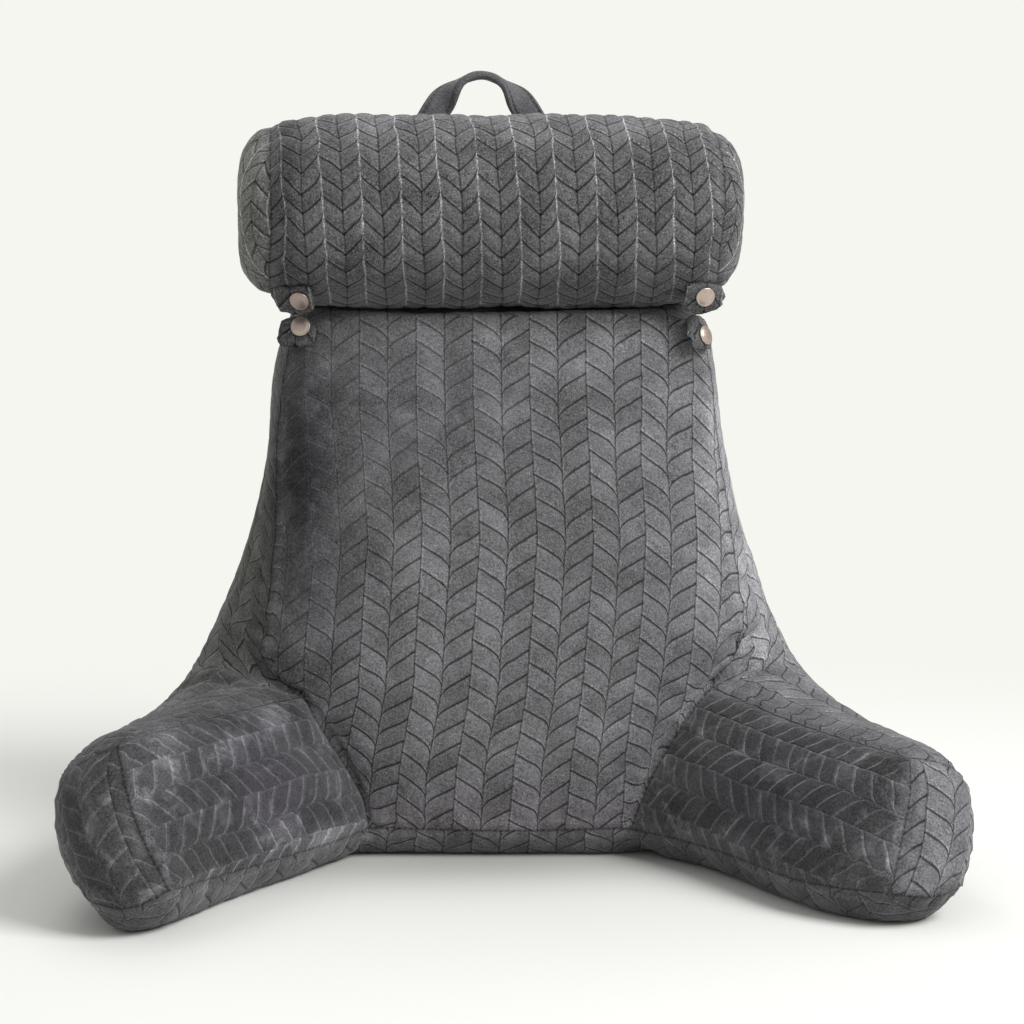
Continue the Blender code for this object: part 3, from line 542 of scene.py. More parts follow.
def makeCushion():
    # flat panels between the sewn lines are welded, softened, stuffed along their normals and pressed
    c = cushion
    panels, seamPoints, seamLength, shows = cutPanels(c["cells"])
    flips = []
    for p in panels:
        a, b, d = p["grid"][:-1, :-1], p["grid"][:-1, 1:], p["grid"][1:, :-1]
        flips.append(float(np.mean(np.cross(b - a, d - a) @ p["out"])) < 0)
    points, number, quads, starts = weld([p["grid"] for p in panels], flips)
    spans = [(p, slice(start, end)) for p, start, end in zip(panels, starts, starts[1:])]
    cells = number[quads]
    pairs = neighbourPairs(cells)
    everywhere = np.ones(len(points), bool)
    loose = nearestSeam(points, seamPoints)[1] > onSeam
    points = averaged(points, pairs, loose, c["softening"])
    seam, distance = nearestSeam(points, seamPoints)
    shownSeam, shown = nearestSeam(points, seamPoints[shows])
    onShown, seamRun = seamPoints[shows][shownSeam], seamLength[shows][shownSeam]
    free = shown > onSeam
    normals = vertexNormals(points, cells)

    moves = normals * stuffedRise(distance, shown)[:, None]
    under = np.zeros(len(points), bool)
    for p, span in spans:
        under[number[span]] |= p["name"].startswith("base")
    under &= loose
    moves[under] = borderMove(points, seamPoints[seam], distance)[under]
    moves = averaged(moves, pairs, free, c["evening"]) * free[:, None]
    # the seams ride up a little with the stuffed cloth on both sides of them
    eased = averaged(moves, pairs, everywhere, c["easing"])
    fill = c["seamFill"] * bellAt(shown, 0, c["seamFillReach"])[:, None]
    points = points + moves * (1 - fill) + eased * fill
    points[:, 2] = np.maximum(points[:, 2], 0)
    points = pressedByRoll(points, c["rollGap"])
    normals = vertexNormals(points, cells)

    # pucker: the rise beside a seam comes and goes along the seam
    wave = np.sin(2 * math.pi * seamRun / c["puckerPitch"] + pulled(onShown, c["puckerWander"]))
    lift = c["pucker"] * wave * bellAt(shown, c["puckerAt"], c["puckerReach"])
    lift += c["seamRidge"] * bellAt(shown, c["ridgeAt"], c["ridgeWidth"])
    lift -= c["seamValley"] * bellAt(shown, 0, c["valleyWidth"])
    lift += pulled(points, c["lump"]) * (1 - bellAt(shown, 0, c["lumpFlat"]))
    for at, reach, depth in dents:
        lift -= depth / 1000 * blob(points, at, reach)
    for start, end, width, depth in folds:
        lift -= c["foldDepth"] * (depth / 1000) * foldValley(points, start, end, width / 1000)
    points = points + normals * lift[:, None]
    normals = vertexNormals(points, cells)

    # each panel's own cloth lengths give the pressed pattern and the cloth map
    cloth = np.zeros((starts[-1], 2))
    shade = np.tile([1.0, 0.0], (len(points), 1))
    laid = {}
    for p, span in spans:
        grid = points[number[span]].reshape(p["grid"].shape)
        upright = p["name"].startswith("gusset")
        uv = laid[p["name"]] = clothLengths(grid, p["grain"], laid.get(p["follows"]), upright)
        cloth[span] = np.stack(uv, axis=2).reshape(-1, 2)
        if p["name"].startswith("front"):
            cloth[span, 0] += c["lean"] * np.clip((cloth[span, 1] - c["leanFrom"]) / c["leanOver"], 0, 1)
        shade[number[span]] = panelPileAndPaintedLight.get(p["name"], (1.0, 0.0))
    onPoint = np.zeros((len(points), 2))
    onPoint[number] = cloth
    relief = leafRelief(onPoint, bodyLeaves, c) * (1 - bellAt(shown, 0, c["flatBySeam"]))
    points = pressedByRoll(points + normals * relief[:, None], c["patternGap"])
    points[:, 2] = np.clip(points[:, 2], 0, c["ceiling"])

    shade = averaged(shade, pairs, everywhere, 2)
    light = shade[:, 1] + sum(gain * blob(points, at, reach) for at, reach, gain in lightLines)
    # the tone attribute carries the patches and panel shades, painted light and shade among them
    piece = makePiece("padded_cushion", points + toFrame, (cells, quads), cloth,
                      {"seam": shown, "seamRun": seamRun, "lightLines": np.clip(light, 0, 1)},
                      {"tone": clothTone(points, pileAndPaintedLightPatches) * shade[:, :1]})
    print("cushion:", len(points), "points")
    return piece


# the neck roll: a barrel along x with the pressed pattern round it
# tones of the roll's cloth, painted light and shade among them
rollTonesAndPaintedLight = [
    ((-186, 64.5, 559.5), (13, 200, 200), (-50, -50, -48)),     # dark by the left seam
    ((-226, 64.5, 570), (20, 200, 200), (75, 76, 55)),     # olive-grey left end
    # right end lighter, a painted sheen where it faces the lamp; top lighter, painted light from above
    ((208, 64.5, 560), (14, 200, 200), 25), ((-10, 20, 645), (300, 60, 26), (52, 52, 53)),
    # underside darker: painted shade
    ((-10, 20, 480), (300, 60, 22), -30)
]


def makeRoll():
    # radius of a superellipse barrel at even steps of its own outline, turned about the axis
    r = roll
    dense = np.linspace(0, math.pi, outlineSteps)
    x = r["centreX"] - r["half"] * np.sign(np.cos(dense)) * np.abs(np.cos(dense)) ** (2 / r["power"])
    radius = r["radius"] * np.sin(dense) ** (2 / r["power"])
    radius[[0, -1]] = 0
    length = runningLength(np.stack([x, radius], axis=1))
    even = np.linspace(0, length[-1], r["cellsAlong"] + 1)
    x, radius = np.interp(even, length, x), np.interp(even, length, radius)
    turn = fullTurn(r["cellsRound"])
    way = np.stack([np.cos(turn), np.sin(turn)], axis=1)
    hoops = np.array(r["axis"]) + radius[:, None, None] * way
    grid = np.concatenate([np.tile(x[:, None, None], (1, len(turn), 1)), hoops], axis=2)
    # the end rounds are cut flat, so their cloth is measured out from the pole; the barrel's goes round
    first, last = (int(np.argmin(np.abs(x - seam))) for seam in r["endSeams"])
    parts = [slice(0, first + 1), slice(first, last + 1), slice(last, len(x))]
    points, number, quads, _ = weld([grid[part] for part in parts], [False] * len(parts))
    around = np.linspace(0, 2 * math.pi, r["cellsRound"] + 1)
    across = (even - np.interp(r["centreX"], x, even))[:, None] - r["twist"] * around
    barrel = np.stack(np.broadcast_arrays(across, around * r["radius"]), axis=2) + np.array(r["clothStart"])
    ends = [reach[:, None, None] * way for reach in (even, length[-1] - even)]
    cloth = np.concatenate([laid[part].reshape(-1, 2)
                            for laid, part in zip((ends[0], barrel, ends[1]), parts)])
    # the stuffing pulls the pattern a little out of line
    cloth[:, 0] += pulled(points, r["pulledAcross"])[number]
    cloth[:, 1] += pulled(points, r["pulledRound"])[number]
    onPoint = np.zeros((len(points), 2))
    onPoint[number] = cloth
    cells, quads = facingOut(points, number[quads], quads, points.mean(axis=0))
    seam = np.minimum(np.abs(points[:, 0] - x[first]), np.abs(points[:, 0] - x[last]))
    domes = (points[:, 0] < x[first]) | (points[:, 0] > x[last])
    lift = leafRelief(onPoint, rollLeaves, r) * (1 - bellAt(seam, 0, r["flatBySeam"]))
    lift *= np.where(domes, r["endPuff"], 1.0)
    lift -= r["seamDepth"] * bellAt(seam, 0, r["seamWidth"])
    lift += r["ridge"] * bellAt(seam, r["ridgeAt"], r["ridgeWidth"]) + pulled(points, r["lump"])
    away = points - np.array([0, *r["axis"]])
    angle = np.arctan2(away[:, 2], away[:, 1])
    wave = np.sin(angle * r["puckers"] + pulled(points, r["puckerWander"]))
    lift += r["pucker"] * wave * bellAt(seam, r["puckerAt"], r["puckerReach"])
    points = points + vertexNormals(points, cells) * lift[:, None]
    points[:, 0] += pulled(points, r["seamWander"]) * bellAt(seam, 0, r["wanderReach"])
    piece = makePiece("padded_neck_roll", points + toFrame, (cells, quads), cloth,
                      {"seam": seam, "seamRun": angle * r["radius"], "lightLines": np.zeros(len(points))},
                      {"tone": clothTone(points, rollTonesAndPaintedLight)})
    print("neck roll:", len(points), "points")
    return piece


# the carry handle: a flat strap bent over in a loop
handle = {
    "width": 0.026, "thick": 0.0075, "top": 0.6900, "foot": 0.6090, "spread": 0.0645, "turn": 0.65,
    "y": 0.173, "x": -0.0083, "sections": 170, "ring": 48, "corners": (0.45, 0.6),
    "stitchAt": 0.0092, "stitchWidth": 0.0011, "stitchPitch": 0.0042, "rowDepth": 0.10, "stitchDepth": 0.24,
    "ripple": 0.05, "ripplePitch": 0.023,
}


def makeHandle():
    # a rounded rectangle carried along a parabola; it turns from facing forward to lying flat on top
    h = handle
    share = np.linspace(-1, 1, h["sections"] + 1)
    none, height = np.zeros_like(share), h["top"] - h["thick"] / 2 - h["foot"]
    start = np.array([h["x"], h["y"], h["foot"]])
    centre = start + np.stack([h["spread"] * share, none, height * (1 - share**2)], axis=1)
    tangent = np.stack([none + h["spread"], none, -2 * height * share], axis=1)
    tangent /= np.linalg.norm(tangent, axis=1)[:, None]
    outward = np.stack([-tangent[:, 2], none, tangent[:, 0]], axis=1)
    turned = np.maximum(0, 1 - (share / h["turn"]) ** 2)
    face = (math.pi / 2 * turned**2 * (3 - 2 * turned))[:, None]
    wide = outward * np.cos(face) + np.array([0.0, 1.0, 0.0]) * np.sin(face)
    wide /= np.linalg.norm(wide, axis=1)[:, None]
    thin = np.cross(tangent, wide)
    turn = fullTurn(h["ring"])
    a, b = (np.sign(part) * np.abs(part) ** power * size / 2 for part, power, size in zip(
        (np.cos(turn), np.sin(turn)), h["corners"], (h["width"], h["thick"])))
    along = runningLength(centre)
    row = bellAt(np.abs(a), h["stitchAt"], h["stitchWidth"])
    sewn = 0.55 + 0.45 * np.cos(2 * math.pi * along / h["stitchPitch"])
    pressed = 1 - row * (h["rowDepth"] + h["stitchDepth"] * sewn[:, None])
    ripple = 1 + h["ripple"] * np.sin(2 * math.pi * along / h["ripplePitch"])[:, None]
    grid = (centre[:, None] + wide[:, None] * a[:, None]
            + thin[:, None] * (b * pressed * ripple)[..., None])
    grid[..., 2] = np.maximum(grid[..., 2], h["foot"])
    grid[[0, -1], :, 2] = h["foot"]
    lids = [np.stack([row, np.tile(row.mean(axis=0), (len(row), 1))]) for row in (grid[0], grid[-1])]
    points, number, quads, starts = weld([grid, *lids], [False, True, False])
    cloth = np.zeros((starts[-1], 2))
    cloth[:starts[1]] = np.stack([np.tile(a, len(share)), np.repeat(along, len(turn))], axis=1)
    cells, quads = facingOut(points, number[quads], quads, start + np.array([0, 0, height / 2]))
    piece = makePiece("strap_handle", points + toFrame, (cells, quads), cloth)
    print("handle:", len(points), "points")
    return piece, float(along[-1])


# tabs with snap caps, from the pattern's frame
tabKeys = ("name", "at", "size", "lean", "turn", "cap", "fold", "ragged", "tone")
tabs = [dict(zip(tabKeys, row)) for row in (
    ("roll_tab_left", (-0.1790, 0.0214, 0.4823), (0.038, 0.028), 30.0, -20.0, (0.0065, 0.001),
     0.0012, 0.0011, 0.62),
    ("roll_tab_right", (0.1775, 0.0215, 0.4840), (0.037, 0.029), 20.0, 14.0, (-0.0005, 0.002),
     0.0012, 0.0011, 0.80),
    ("body_tab_left", (-0.1772, 0.0454, 0.4545), (0.034, 0.027), -16.0, -12.0, (0.004, 0.0045),
     0.0030, 0.0006, 0.70),
    ("body_tab_right", (0.1768, 0.0424, 0.4535), (0.034, 0.032), -16.0, 48.0, (0.004, -0.003),
     0.0030, 0.0006, 0.85))]
tabCloth = {
    "thick": 0.0032, "across": 41, "up": 47, "rounded": 0.30,
    "domed": (0.0012, 0.0010),      # how far the sides and the ends fall back
    "valleyAt": -0.45, "valley": 0.20, "ridge": 0.7, "ridgeAt": -0.05, "ridgeWidth": 0.12,
    "flatRound": 0.009, "swell": 0.0005, "swellAt": 0.0105, "swellWidth": 0.0022,
}
cap = {"radius": 0.0087, "height": 0.0032, "gap": 0.0004, "sides": 56}
capOutline = np.array([     # shares of radius and height: rolled rim, shallow step, low dome
    (0.0, 0.0), (0.80, 0.0), (0.93, 0.02), (0.985, 0.12), (1.0, 0.28), (0.985, 0.44), (0.94, 0.56),
    (0.885, 0.60), (0.84, 0.585), (0.80, 0.60), (0.74, 0.69), (0.62, 0.80), (0.46, 0.90), (0.28, 0.965),
    (0.12, 0.995), (0.0, 1.0)])


def tabAxes(tab):
    # right turns about the upright, out leans from it, and up is square to both
    lean, turn = math.radians(tab["lean"]), math.radians(tab["turn"])
    right = np.array([math.cos(turn), math.sin(turn), 0.0])
    out = np.array([math.sin(turn) * math.cos(lean), -math.cos(turn) * math.cos(lean), -math.sin(lean)])
    return right, -np.cross(right, out), out


def makeTab(tab, seed):
    # a front and a back sheet that meet at a rounded, ragged rim, domed across and laid in a fold
    c = tabCloth
    right, up, out = tabAxes(tab)
    width, height = tab["size"]
    s, t = np.meshgrid(np.linspace(-1, 1, c["across"]), np.linspace(-1, 1, c["up"]))
    rim = np.maximum(np.abs(s), np.abs(t))
    angle = np.arctan2(t, s)
    rough = 1 + tab["ragged"] / (width / 2) * rim**6 * (
        np.sin(angle * 3 + seed) * 1.1 + np.sin(angle * 7 + 2 * np.sin(angle * 3 + seed)) * 0.7
        + np.sin(angle * 17 + 4 * np.sin(angle * 5)) * 0.25)
    x = s * np.sqrt(1 - c["rounded"] * t * t) * width / 2 * rough
    y = t * np.sqrt(1 - c["rounded"] * s * s) * height / 2 * rough
    fromCap = np.hypot(x - tab["cap"][0], y - tab["cap"][1])
    fold = bellAt(t, c["valleyAt"], c["valley"]) - c["ridge"] * bellAt(t, c["ridgeAt"], c["ridgeWidth"])
    fold = tab["fold"] * fold * np.clip(fromCap / c["flatRound"] - 1, 0, 1)
    dome = fold - c["domed"][0] * s * s - c["domed"][1] * t * t
    full = c["thick"] / 2 * (1 - rim**8) ** 0.5
    swell = c["swell"] * bellAt(fromCap, c["swellAt"], c["swellWidth"]) * (1 - rim**8)
    middle = np.array(tab["at"])
    flat = middle + x[..., None] * right + y[..., None] * up
    sheets = [flat + depth[..., None] * out for depth in (dome + full + swell, dome - full)]
    points, number, quads, _ = weld(sheets, [False, True])
    cells, quads = facingOut(points, number[quads], quads, middle)
    cloth = np.tile(np.stack([x.ravel(), y.ravel()], axis=1), (2, 1))
    zero = np.zeros(len(points))
    fromRim = zero.copy()
    fromRim[number] = np.tile((1 - rim).ravel() * width / 2, 2) + onSeam
    return makePiece("plush_" + tab["name"], points + toFrame, (cells, quads), cloth,
                     {"seam": fromRim, "seamRun": zero, "lightLines": zero},
                     {"tone": np.full((len(points), 3), tab["tone"])})


def makeCap(tab):
    # the outline turned about the tab's outward line, closed by flat poles
    right, up, out = tabAxes(tab)
    base = np.array(tab["at"]) + right * tab["cap"][0] + up * tab["cap"][1]
    base = base + out * (tabCloth["thick"] / 2 + cap["gap"])
    turn = fullTurn(cap["sides"])[:, None]
    ring = right * np.cos(turn) + up * np.sin(turn)
    reach, rise = capOutline.T[:, :, None, None]
    grid = base + ring * reach * cap["radius"] + out * rise * cap["height"]
    points, number, quads, _ = weld([grid], [False])
    cells, quads = facingOut(points, number[quads], quads, base + out * cap["height"] / 2)
    return makePiece("cap_" + tab["name"].replace("_tab", ""), points + toFrame, (cells, quads))


# shader tools
def put(value, socket):
    # a link where the value is a socket, else a constant
    if isinstance(value, bpy.types.NodeSocket):
        socket.id_data.links.new(value, socket)
    else:
        socket.default_value = value


def addNode(tree, kind, inputs, **settings):
    # one node with its settings, then its inputs
    node = tree.nodes.new("ShaderNode" + kind)
    for name, value in settings.items():
        setattr(node, name, value)
    for label, value in inputs.items():
        put(value, node.inputs[label])
    return node.outputs


def calc(operation, *values, kind="Math"):
    # one Math node in the tree of its first linked value
    tree = next(value.id_data for value in values if isinstance(value, bpy.types.NodeSocket))
    return addNode(tree, kind, dict(enumerate(values)), operation=operation)[0]


def times(a, b):
    # a times b
    return calc("MULTIPLY", a, b)


def timesPlus(a, b, c):
    # a times b, plus c
    return calc("MULTIPLY_ADD", a, b, c)


def less(a, b):
    # a minus b
    return calc("SUBTRACT", a, b)


def bell(value, width):
    # e to the minus square of value over width
    return calc("EXPONENT", times(calc("POWER", calc("ABSOLUTE", calc("DIVIDE", value, width)), 2.0), -1.0))


def lengthOf(place):
    # a vector's length
    return addNode(place.id_data, "VectorMath", {0: place}, operation="LENGTH")["Value"]


def newGroup(name, place, numbers):
    # an empty node group with one vector and several numbers in
    tree = bpy.data.node_groups.new(name, "ShaderNodeTree")
    for label in (place, *numbers):
        kind = "NodeSocketVector" if label == place else "NodeSocketFloat"
        tree.interface.new_socket(name=label, in_out="INPUT", socket_type=kind)
    return tree, tree.nodes.new("NodeGroupInput").outputs


def closeGroup(tree, values):
    # one number out for each value
    for label in values:
        tree.interface.new_socket(name=label, in_out="OUTPUT", socket_type="NodeSocketFloat")
    result = tree.nodes.new("NodeGroupOutput")
    for label, value in values.items():
        put(value, result.inputs[label])
    return tree


def leafGroup():
    # the same groove and column lines as leafField, as masks over the cloth map
    tree, g = newGroup("pressedLeaves", "Cloth", (*bodyLeaves, "grooveWidth", "lineWidth"))
    u, v, _ = addNode(tree, "SeparateXYZ", {0: g["Cloth"]})
    share = calc("DIVIDE", u, g["column"])
    k = calc("FLOOR", share)
    s = less(share, k)
    odd = calc("FLOORED_MODULO", k, 2.0)
    hand = timesPlus(odd, 2.0, -1.0)
    slanted = times(times(hand, g["slope"]), times(g["column"], less(s, 0.5)))
    back, even = less(1.0, s), less(1.0, odd)
    low = calc("ADD", times(odd, back), times(even, s))
    curlLow = times(calc("EXPONENT", calc("DIVIDE", low, -curlReach)), g["curlLow"])
    curlHigh = times(times(calc("EXPONENT", calc("DIVIDE", back, -curlReach)), g["curlHigh"]), even)
    shift = timesPlus(odd, g["stagger"], less(curlLow, curlHigh))
    w = less(calc("DIVIDE", less(v, slanted), g["row"]), shift)
    steep = calc("SQRT", timesPlus(g["slope"], g["slope"], 1.0))
    away = calc("DIVIDE", times(less(w, calc("ROUND", w)), g["row"]), steep)
    lineNumber = calc("ROUND", share)
    lineAway = times(less(share, lineNumber), g["column"])
    pair = addNode(tree, "CombineXYZ", {0: k, 1: calc("FLOOR", w)})[0]
    dots = addNode(tree, "TexWhiteNoise", {"Vector": pair}, noise_dimensions="2D")
    # the rim, a painted highlight on the groove's lit side, lies above the groove in odd columns and below
    # it in even ones
    rim = timesPlus(times(hand, g["grooveWidth"]), 1.7, away)
    beside = timesPlus(g["lineWidth"], -1.8, lineAway)
    return closeGroup(tree, {
        "Groove": bell(away, g["grooveWidth"]), "Rim": bell(rim, g["grooveWidth"]),
        "Line": bell(lineAway, g["lineWidth"]), "Line Side": bell(beside, g["lineWidth"]), "Odd": odd,
        "Odd Line": calc("FLOORED_MODULO", lineNumber, 2.0), "Cell": dots["Value"]})


def pileGroup():
    # short brushed pile: two sizes of speckle and a slow drift of its lean
    tree, given = newGroup("plushPile", "Place", ("Fineness",))
    fine, coarse, slow = (
        addNode(tree, "TexNoise", {"Detail": detail, "Roughness": rough, "Vector": given["Place"],
                                   "Scale": times(given["Fineness"], scale)})[0]
        for scale, detail, rough in ((900.0, 2.0, 0.8), (420.0, 2.0, 0.6), (24.0, 4.0, 0.62)))
    return closeGroup(tree, {
        "Speckle": calc("ADD", times(less(fine, 0.5), 2.6), times(less(coarse, 0.5), 1.5)),
        "Fuzz": calc("MAXIMUM", less(fine, 0.56), 0.0), "Drift": times(less(slow, 0.5), 2.0),
        "Height": timesPlus(fine, 0.6, coarse)})


def newMaterial(name, inputs):
    # a Principled shader with constant inputs, and the place on the piece
    material = bpy.data.materials.new(name)
    material.use_nodes = True
    tree = material.node_tree
    shader = tree.nodes["Principled BSDF"].inputs
    for label, value in inputs.items():
        shader[label].default_value = value
    return material, tree, shader, addNode(tree, "TexCoord", {})["Object"]


def attribute(tree, name, output="Fac"):
    # a value or colour kept on the mesh's points
    return addNode(tree, "Attribute", {}, attribute_name=name)[output]


def clothMap(tree):
    # lengths over the cloth, from makePiece
    return addNode(tree, "UVMap", {}, uv_map="cloth")[0]


def scaledColour(colour, factor):
    # a colour times a value
    return addNode(factor.id_data, "VectorMath", {0: colour, "Scale": factor}, operation="SCALE")[0]


def addBump(shader, height, distance):
    # a normal from the height, at full strength
    bump = addNode(height.id_data, "Bump", {"Distance": distance, "Strength": 1.0, "Height": height})
    put(bump[0], shader["Normal"])


# shares by which each mark darkens (Dark) or lightens the cloth's tone; the groove rims' share is painted
# highlight and the odd columns' share painted sheen
plushLook = {
    "colour": (0.119, 0.1175, 0.124), "grooveDark": 0.78, "lineDark": 0.46, "rimHighlight": 0.50,
    "lineLight": 0.34, "grooveLight": 1.25, "speckle": 0.85, "fuzz": 3.2, "drift": 0.70, "smudge": 1.5,
    "cell": 0.26, "oddColumn": 0.12, "seamDark": 0.70, "bumpDistance": 0.0011, "wander": 0.0022,
    "grooveWidth": 0.00095, "lineWidth": 0.00080,
}
rollLook = dict(plushLook, colour=(0.102, 0.102, 0.105), grooveDark=0.76, lineDark=0.50, rimHighlight=0.55,
                lineLight=0.0, thread=2.3, cell=0.24, oddColumn=0.02, speckle=1.15, fuzz=5.0)
pileShine = {"Roughness": 0.92, "Sheen Weight": 0.22, "Sheen Roughness": 0.34, "Specular IOR Level": 0.12}
seamMarks = {"pitch": 0.0052, "width": 0.0011, "rubbedAt": 0.0062, "rubbedWidth": 0.0022, "rubbed": 0.16}


def roughPile(shader, pile):
    # roughness drifts about 0.9 with the pile's lean
    put(timesPlus(pile["Drift"], 0.06, 0.90), shader["Roughness"])


def embossedPlush(name, look, leaves, groups):
    # tone is one less the grooves and lines, plus the rims as painted highlights, times the cell, the pile
    # and the seam
    material, tree, shader, place = newMaterial(name, pileShine)
    pile = addNode(tree, "Group", {"Fineness": 1.0, "Place": place}, node_tree=groups["pile"])
    # the pressed lines wander a little
    wander = addNode(tree, "TexNoise", {"Scale": 60.0, "Vector": place})["Color"]
    far = look["wander"]
    laid = calc("MULTIPLY_ADD", wander, (far, far, 0.0), clothMap(tree), kind="VectorMath")
    laid = calc("SUBTRACT", laid, (far / 2, far / 2, 0.0), kind="VectorMath")
    marks = {**leaves, "grooveWidth": look["grooveWidth"], "lineWidth": look["lineWidth"], "Cloth": laid}
    leaf = addNode(tree, "Group", marks, node_tree=groups["leaves"])
    light, seam = attribute(tree, "lightLines"), attribute(tree, "seam")
    fuzzy = timesPlus(pile["Speckle"], 0.5, 0.8)

    grooveTone = timesPlus(light, look["grooveDark"] + look["grooveLight"], -look["grooveDark"])
    tone = timesPlus(leaf["Groove"], grooveTone, 1.0)
    # painted highlight on the lit rim of each groove, stronger in odd columns
    rimTone = timesPlus(leaf["Odd"], look["rimHighlight"] * 0.6, look["rimHighlight"] * 0.4)
    tone = timesPlus(times(leaf["Rim"], fuzzy), rimTone, tone)
    lineTone = timesPlus(light, look["lineDark"] + 0.35, -look["lineDark"])
    if "thread" in look:    # every second column line is a light fuzzy thread
        threads = times(leaf["Odd Line"], look["thread"] + look["lineDark"])
        lineTone = calc("ADD", lineTone, times(threads, fuzzy))
    tone = timesPlus(leaf["Line"], lineTone, tone)
    tone = timesPlus(times(leaf["Line Side"], fuzzy), look["lineLight"], tone)
    cellTone = timesPlus(leaf["Cell"], look["cell"], 1.0 - look["cell"] / 2)
    # every second column lighter: painted sheen
    tone = times(tone, timesPlus(leaf["Odd"], look["oddColumn"], cellTone))
    pileTone = timesPlus(pile["Speckle"], look["speckle"], 0.96)
    pileTone = timesPlus(pile["Fuzz"], look["fuzz"], pileTone)
    pileTone = timesPlus(pile["Drift"], look["drift"], pileTone)
    # strokes where a hand has turned the pile, on the darker brushed cloth
    stroke = addNode(tree, "TexNoise", {"Scale": 34.0, "Detail": 4.0, "Roughness": 0.68,
                                        "Distortion": 0.6, "Vector": place})[0]
    brushed = calc("MINIMUM", calc("MAXIMUM", times(less(stroke, 0.53), 6.0), 0.0), 1.0)
    pileTone = calc("ADD", pileTone, times(times(brushed, light), look["smudge"]))
    tone = times(tone, pileTone)
    stitches = calc("COSINE", times(attribute(tree, "seamRun"), 2 * math.pi / seamMarks["pitch"]))
    sewn = times(bell(seam, seamMarks["width"]), timesPlus(stitches, 0.22, 0.78))
    seamTone = timesPlus(sewn, -look["seamDark"], 1.0)
    rubbed = bell(less(seam, seamMarks["rubbedAt"]), seamMarks["rubbedWidth"])
    tone = calc("MAXIMUM", times(tone, timesPlus(rubbed, seamMarks["rubbed"], seamTone)), 0.06)
    tinted = calc("MULTIPLY", scaledColour(look["colour"], tone), attribute(tree, "tone", "Color"),
                  kind="VectorMath")
    put(tinted, shader["Base Color"])
    roughPile(shader, pile)
    pressed = calc("ADD", leaf["Groove"], times(leaf["Line"], 0.7))
    addBump(shader, timesPlus(pressed, -0.9, times(pile["Height"], 0.55)), look["bumpDistance"])
    return material


def strapPlush(name, colour, groups):
    # two rows of stitches, each a light dash in a dark pressed line
    material, tree, shader, place = newMaterial(name, pileShine)
    pile = addNode(tree, "Group", {"Fineness": 1.15, "Place": place}, node_tree=groups["pile"])
    tone = timesPlus(pile["Drift"], 0.22, timesPlus(pile["Speckle"], 0.8, 1.0))
    across, along, _ = addNode(tree, "SeparateXYZ", {0: clothMap(tree)})
    away = less(calc("ABSOLUTE", across), handle["stitchAt"])
    row = bell(away, handle["stitchWidth"])
    phase = times(along, 2 * math.pi / handle["stitchPitch"])
    dash = calc("GREATER_THAN", calc("COSINE", phase), -0.35)
    thread = times(bell(away, handle["stitchWidth"] * 0.5), dash)
    tone = timesPlus(thread, 0.55, times(tone, timesPlus(row, -0.5, 1.0)))
    put(scaledColour(colour, calc("MAXIMUM", tone, 0.08)), shader["Base Color"])
    roughPile(shader, pile)
    height = timesPlus(row, -0.8, times(pile["Height"], 0.8))
    addBump(shader, calc("ADD", height, times(thread, 0.7)), 0.0010)
    return material


def snapMetal(name, colour):
    # satin plated cap: brushed specks and rubbed high spots
    material, tree, shader, place = newMaterial(name, {"Roughness": 0.34, "Metallic": 0.85})
    broad, fine = (addNode(tree, "TexNoise", {"Scale": scale, "Detail": detail, "Vector": place})[0]
                   for scale, detail in ((260.0, 4.0), (2600.0, 2.0)))
    put(scaledColour(colour, timesPlus(broad, 0.35, 0.82)), shader["Base Color"])
    put(timesPlus(broad, 0.30, 0.22), shader["Roughness"])
    addBump(shader, fine, 0.00006)
    return material


# floor, sky and lamps
stage = {
    "floor": (0.876, 0.881, 0.847), "backdrop": (0.913, 0.922, 0.871), "sky": 0.50, "clear": 0.52,
    "fade": 0.70, "under": (0.24, 0.085), "underShadow": 0.45, "aim": (0.0, 0.0, 0.3),
    "key": {"place": (2.1, -1.5, 2.4), "size": 1.7, "power": 103.0},
    "rim": {"place": (-0.6, 1.4, 2.2), "size": 1.4, "power": 14.0},
}


def paleFloor():
    # plain floor near the pillow; away from it the floor turns into the backdrop's own even light
    dull = {"Roughness": 0.95, "Specular IOR Level": 0.0}
    material, _, shader, place = newMaterial("pale_floor", dull)
    share = calc("DIVIDE", less(lengthOf(place), stage["clear"]), stage["fade"])
    share = calc("SMOOTH_MIN", calc("MAXIMUM", share, 0.0), 1.0, 0.2)
    # painted contact shadow: the floor's colour darkens close under the seat
    across, deep = stage["under"]
    under = lengthOf(calc("MULTIPLY", place, (1 / across, 1 / deep, 0.0), kind="VectorMath"))
    near = times(less(1.0, share), timesPlus(bell(under, 1.0), -stage["underShadow"], 1.0))
    put(scaledColour(stage["floor"], near), shader["Base Color"])
    put(scaledColour(stage["backdrop"], share), shader["Emission Color"])
    shader["Emission Strength"].default_value = 1.0
    return material


def makeStage():
    # a flat floor, wide enough to reach the horizon
    side = np.linspace(-60.0, 60.0, 61)
    grid = np.stack(np.broadcast_arrays(side[None, :], side[:, None], 0.0), axis=2)
    points, number, quads, _ = weld([grid], [False])
    floor = makePiece("floor", points, (number[quads], quads))
    floor.data.materials.append(paleFloor())


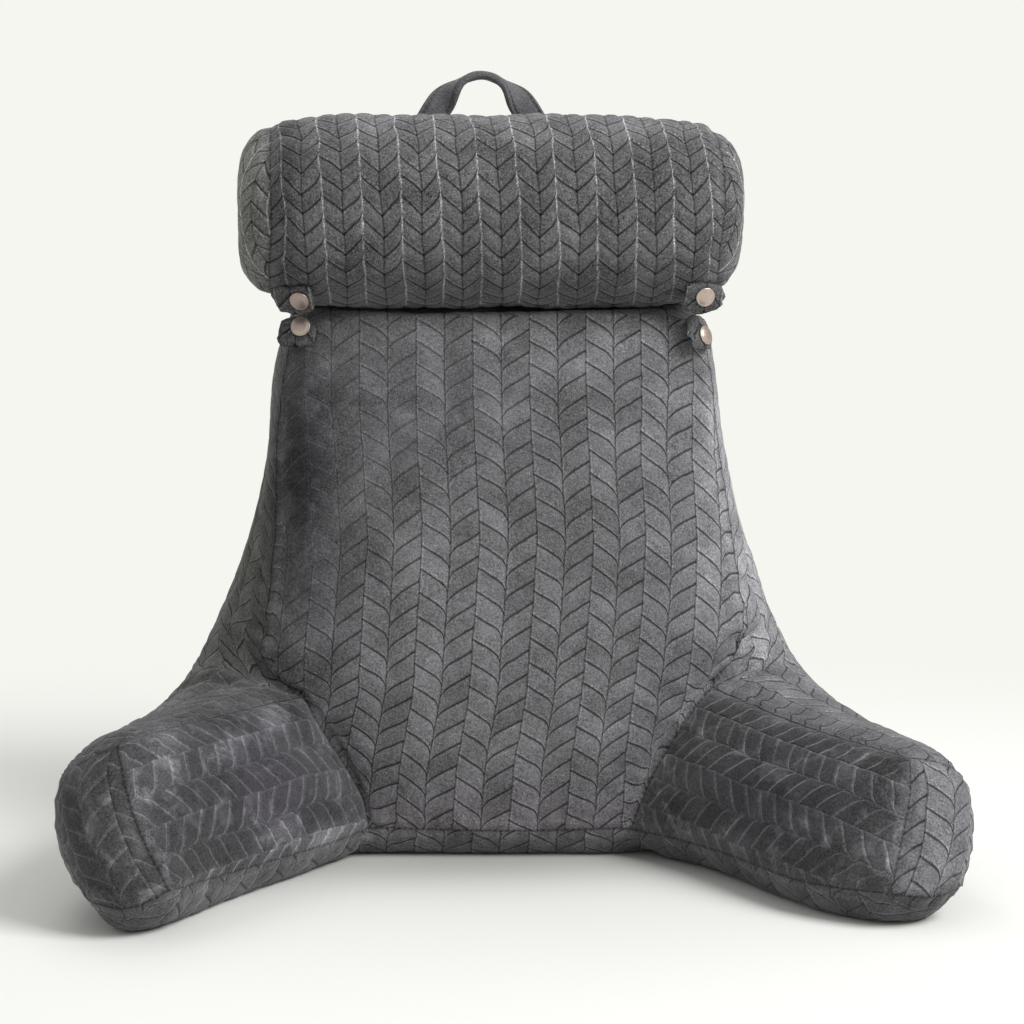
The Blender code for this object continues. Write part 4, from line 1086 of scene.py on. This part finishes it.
def makeLights():
    # an even sky that the camera sees as the backdrop, and two square lamps aimed at the pillow
    world = bpy.data.worlds.new("studio")
    bpy.context.scene.world = world
    world.use_nodes = True
    tree = world.node_tree
    sky = tree.nodes["Background"]
    sky.inputs["Color"].default_value = (1.0, 1.0, 0.985, 1.0)
    sky.inputs["Strength"].default_value = stage["sky"]
    plain = addNode(tree, "Background", {"Color": (*stage["backdrop"], 1.0)})
    seen = addNode(tree, "LightPath", {})["Is Camera Ray"]
    mix = addNode(tree, "MixShader", {0: seen, 1: sky.outputs[0], 2: plain[0]})
    put(mix[0], tree.nodes["World Output"].inputs["Surface"])
    for name in ("key", "rim"):
        lamp = bpy.data.lights.new(name, "AREA")
        lamp.energy = stage[name]["power"]
        lamp.size = stage[name]["size"]
        thing = bpy.data.objects.new(name, lamp)
        bpy.context.scene.collection.objects.link(thing)
        thing.location = stage[name]["place"]
        aim = Vector(stage["aim"]) - thing.location
        thing.rotation_euler = aim.to_track_quat("-Z", "Y").to_euler()
    bpy.context.scene.view_settings.view_transform = "Standard"


groups = {"leaves": leafGroup(), "pile": pileGroup()}
bodyPlush = embossedPlush("embossed_plush", plushLook, bodyLeaves, groups)
rollPlush = embossedPlush("roll_plush", rollLook, rollLeaves, groups)
handlePlush = strapPlush("strap_plush", (0.130, 0.131, 0.138), groups)
lightMetal = snapMetal("snap_metal", (0.50, 0.41, 0.355))
darkMetal = snapMetal("snap_metal_dark", (0.34, 0.27, 0.24))
print("materials made")


def settle(piece, node, material):
    # rides on the pillow, stands for its CAD node and takes its look
    piece.data.materials.append(material)
    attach(piece, "root")
    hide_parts(node)


cushionPiece = makeCushion()
settle(cushionPiece, "cushion", bodyPlush)
rollPiece = makeRoll()
settle(rollPiece, "neck_roll", rollPlush)
handlePiece, handleLength = makeHandle()
settle(handlePiece, "carry_handle", handlePlush)
for place, tab in enumerate(tabs):
    tabPiece = makeTab(tab, place)
    settle(tabPiece, tab["name"], rollPlush)
    metal = darkMetal if place == 0 else lightMetal
    settle(makeCap(tab), tab["name"].replace("tab", "snap"), metal)
print("tabs and snaps made")

makeStage()
makeLights()
print("stage set")
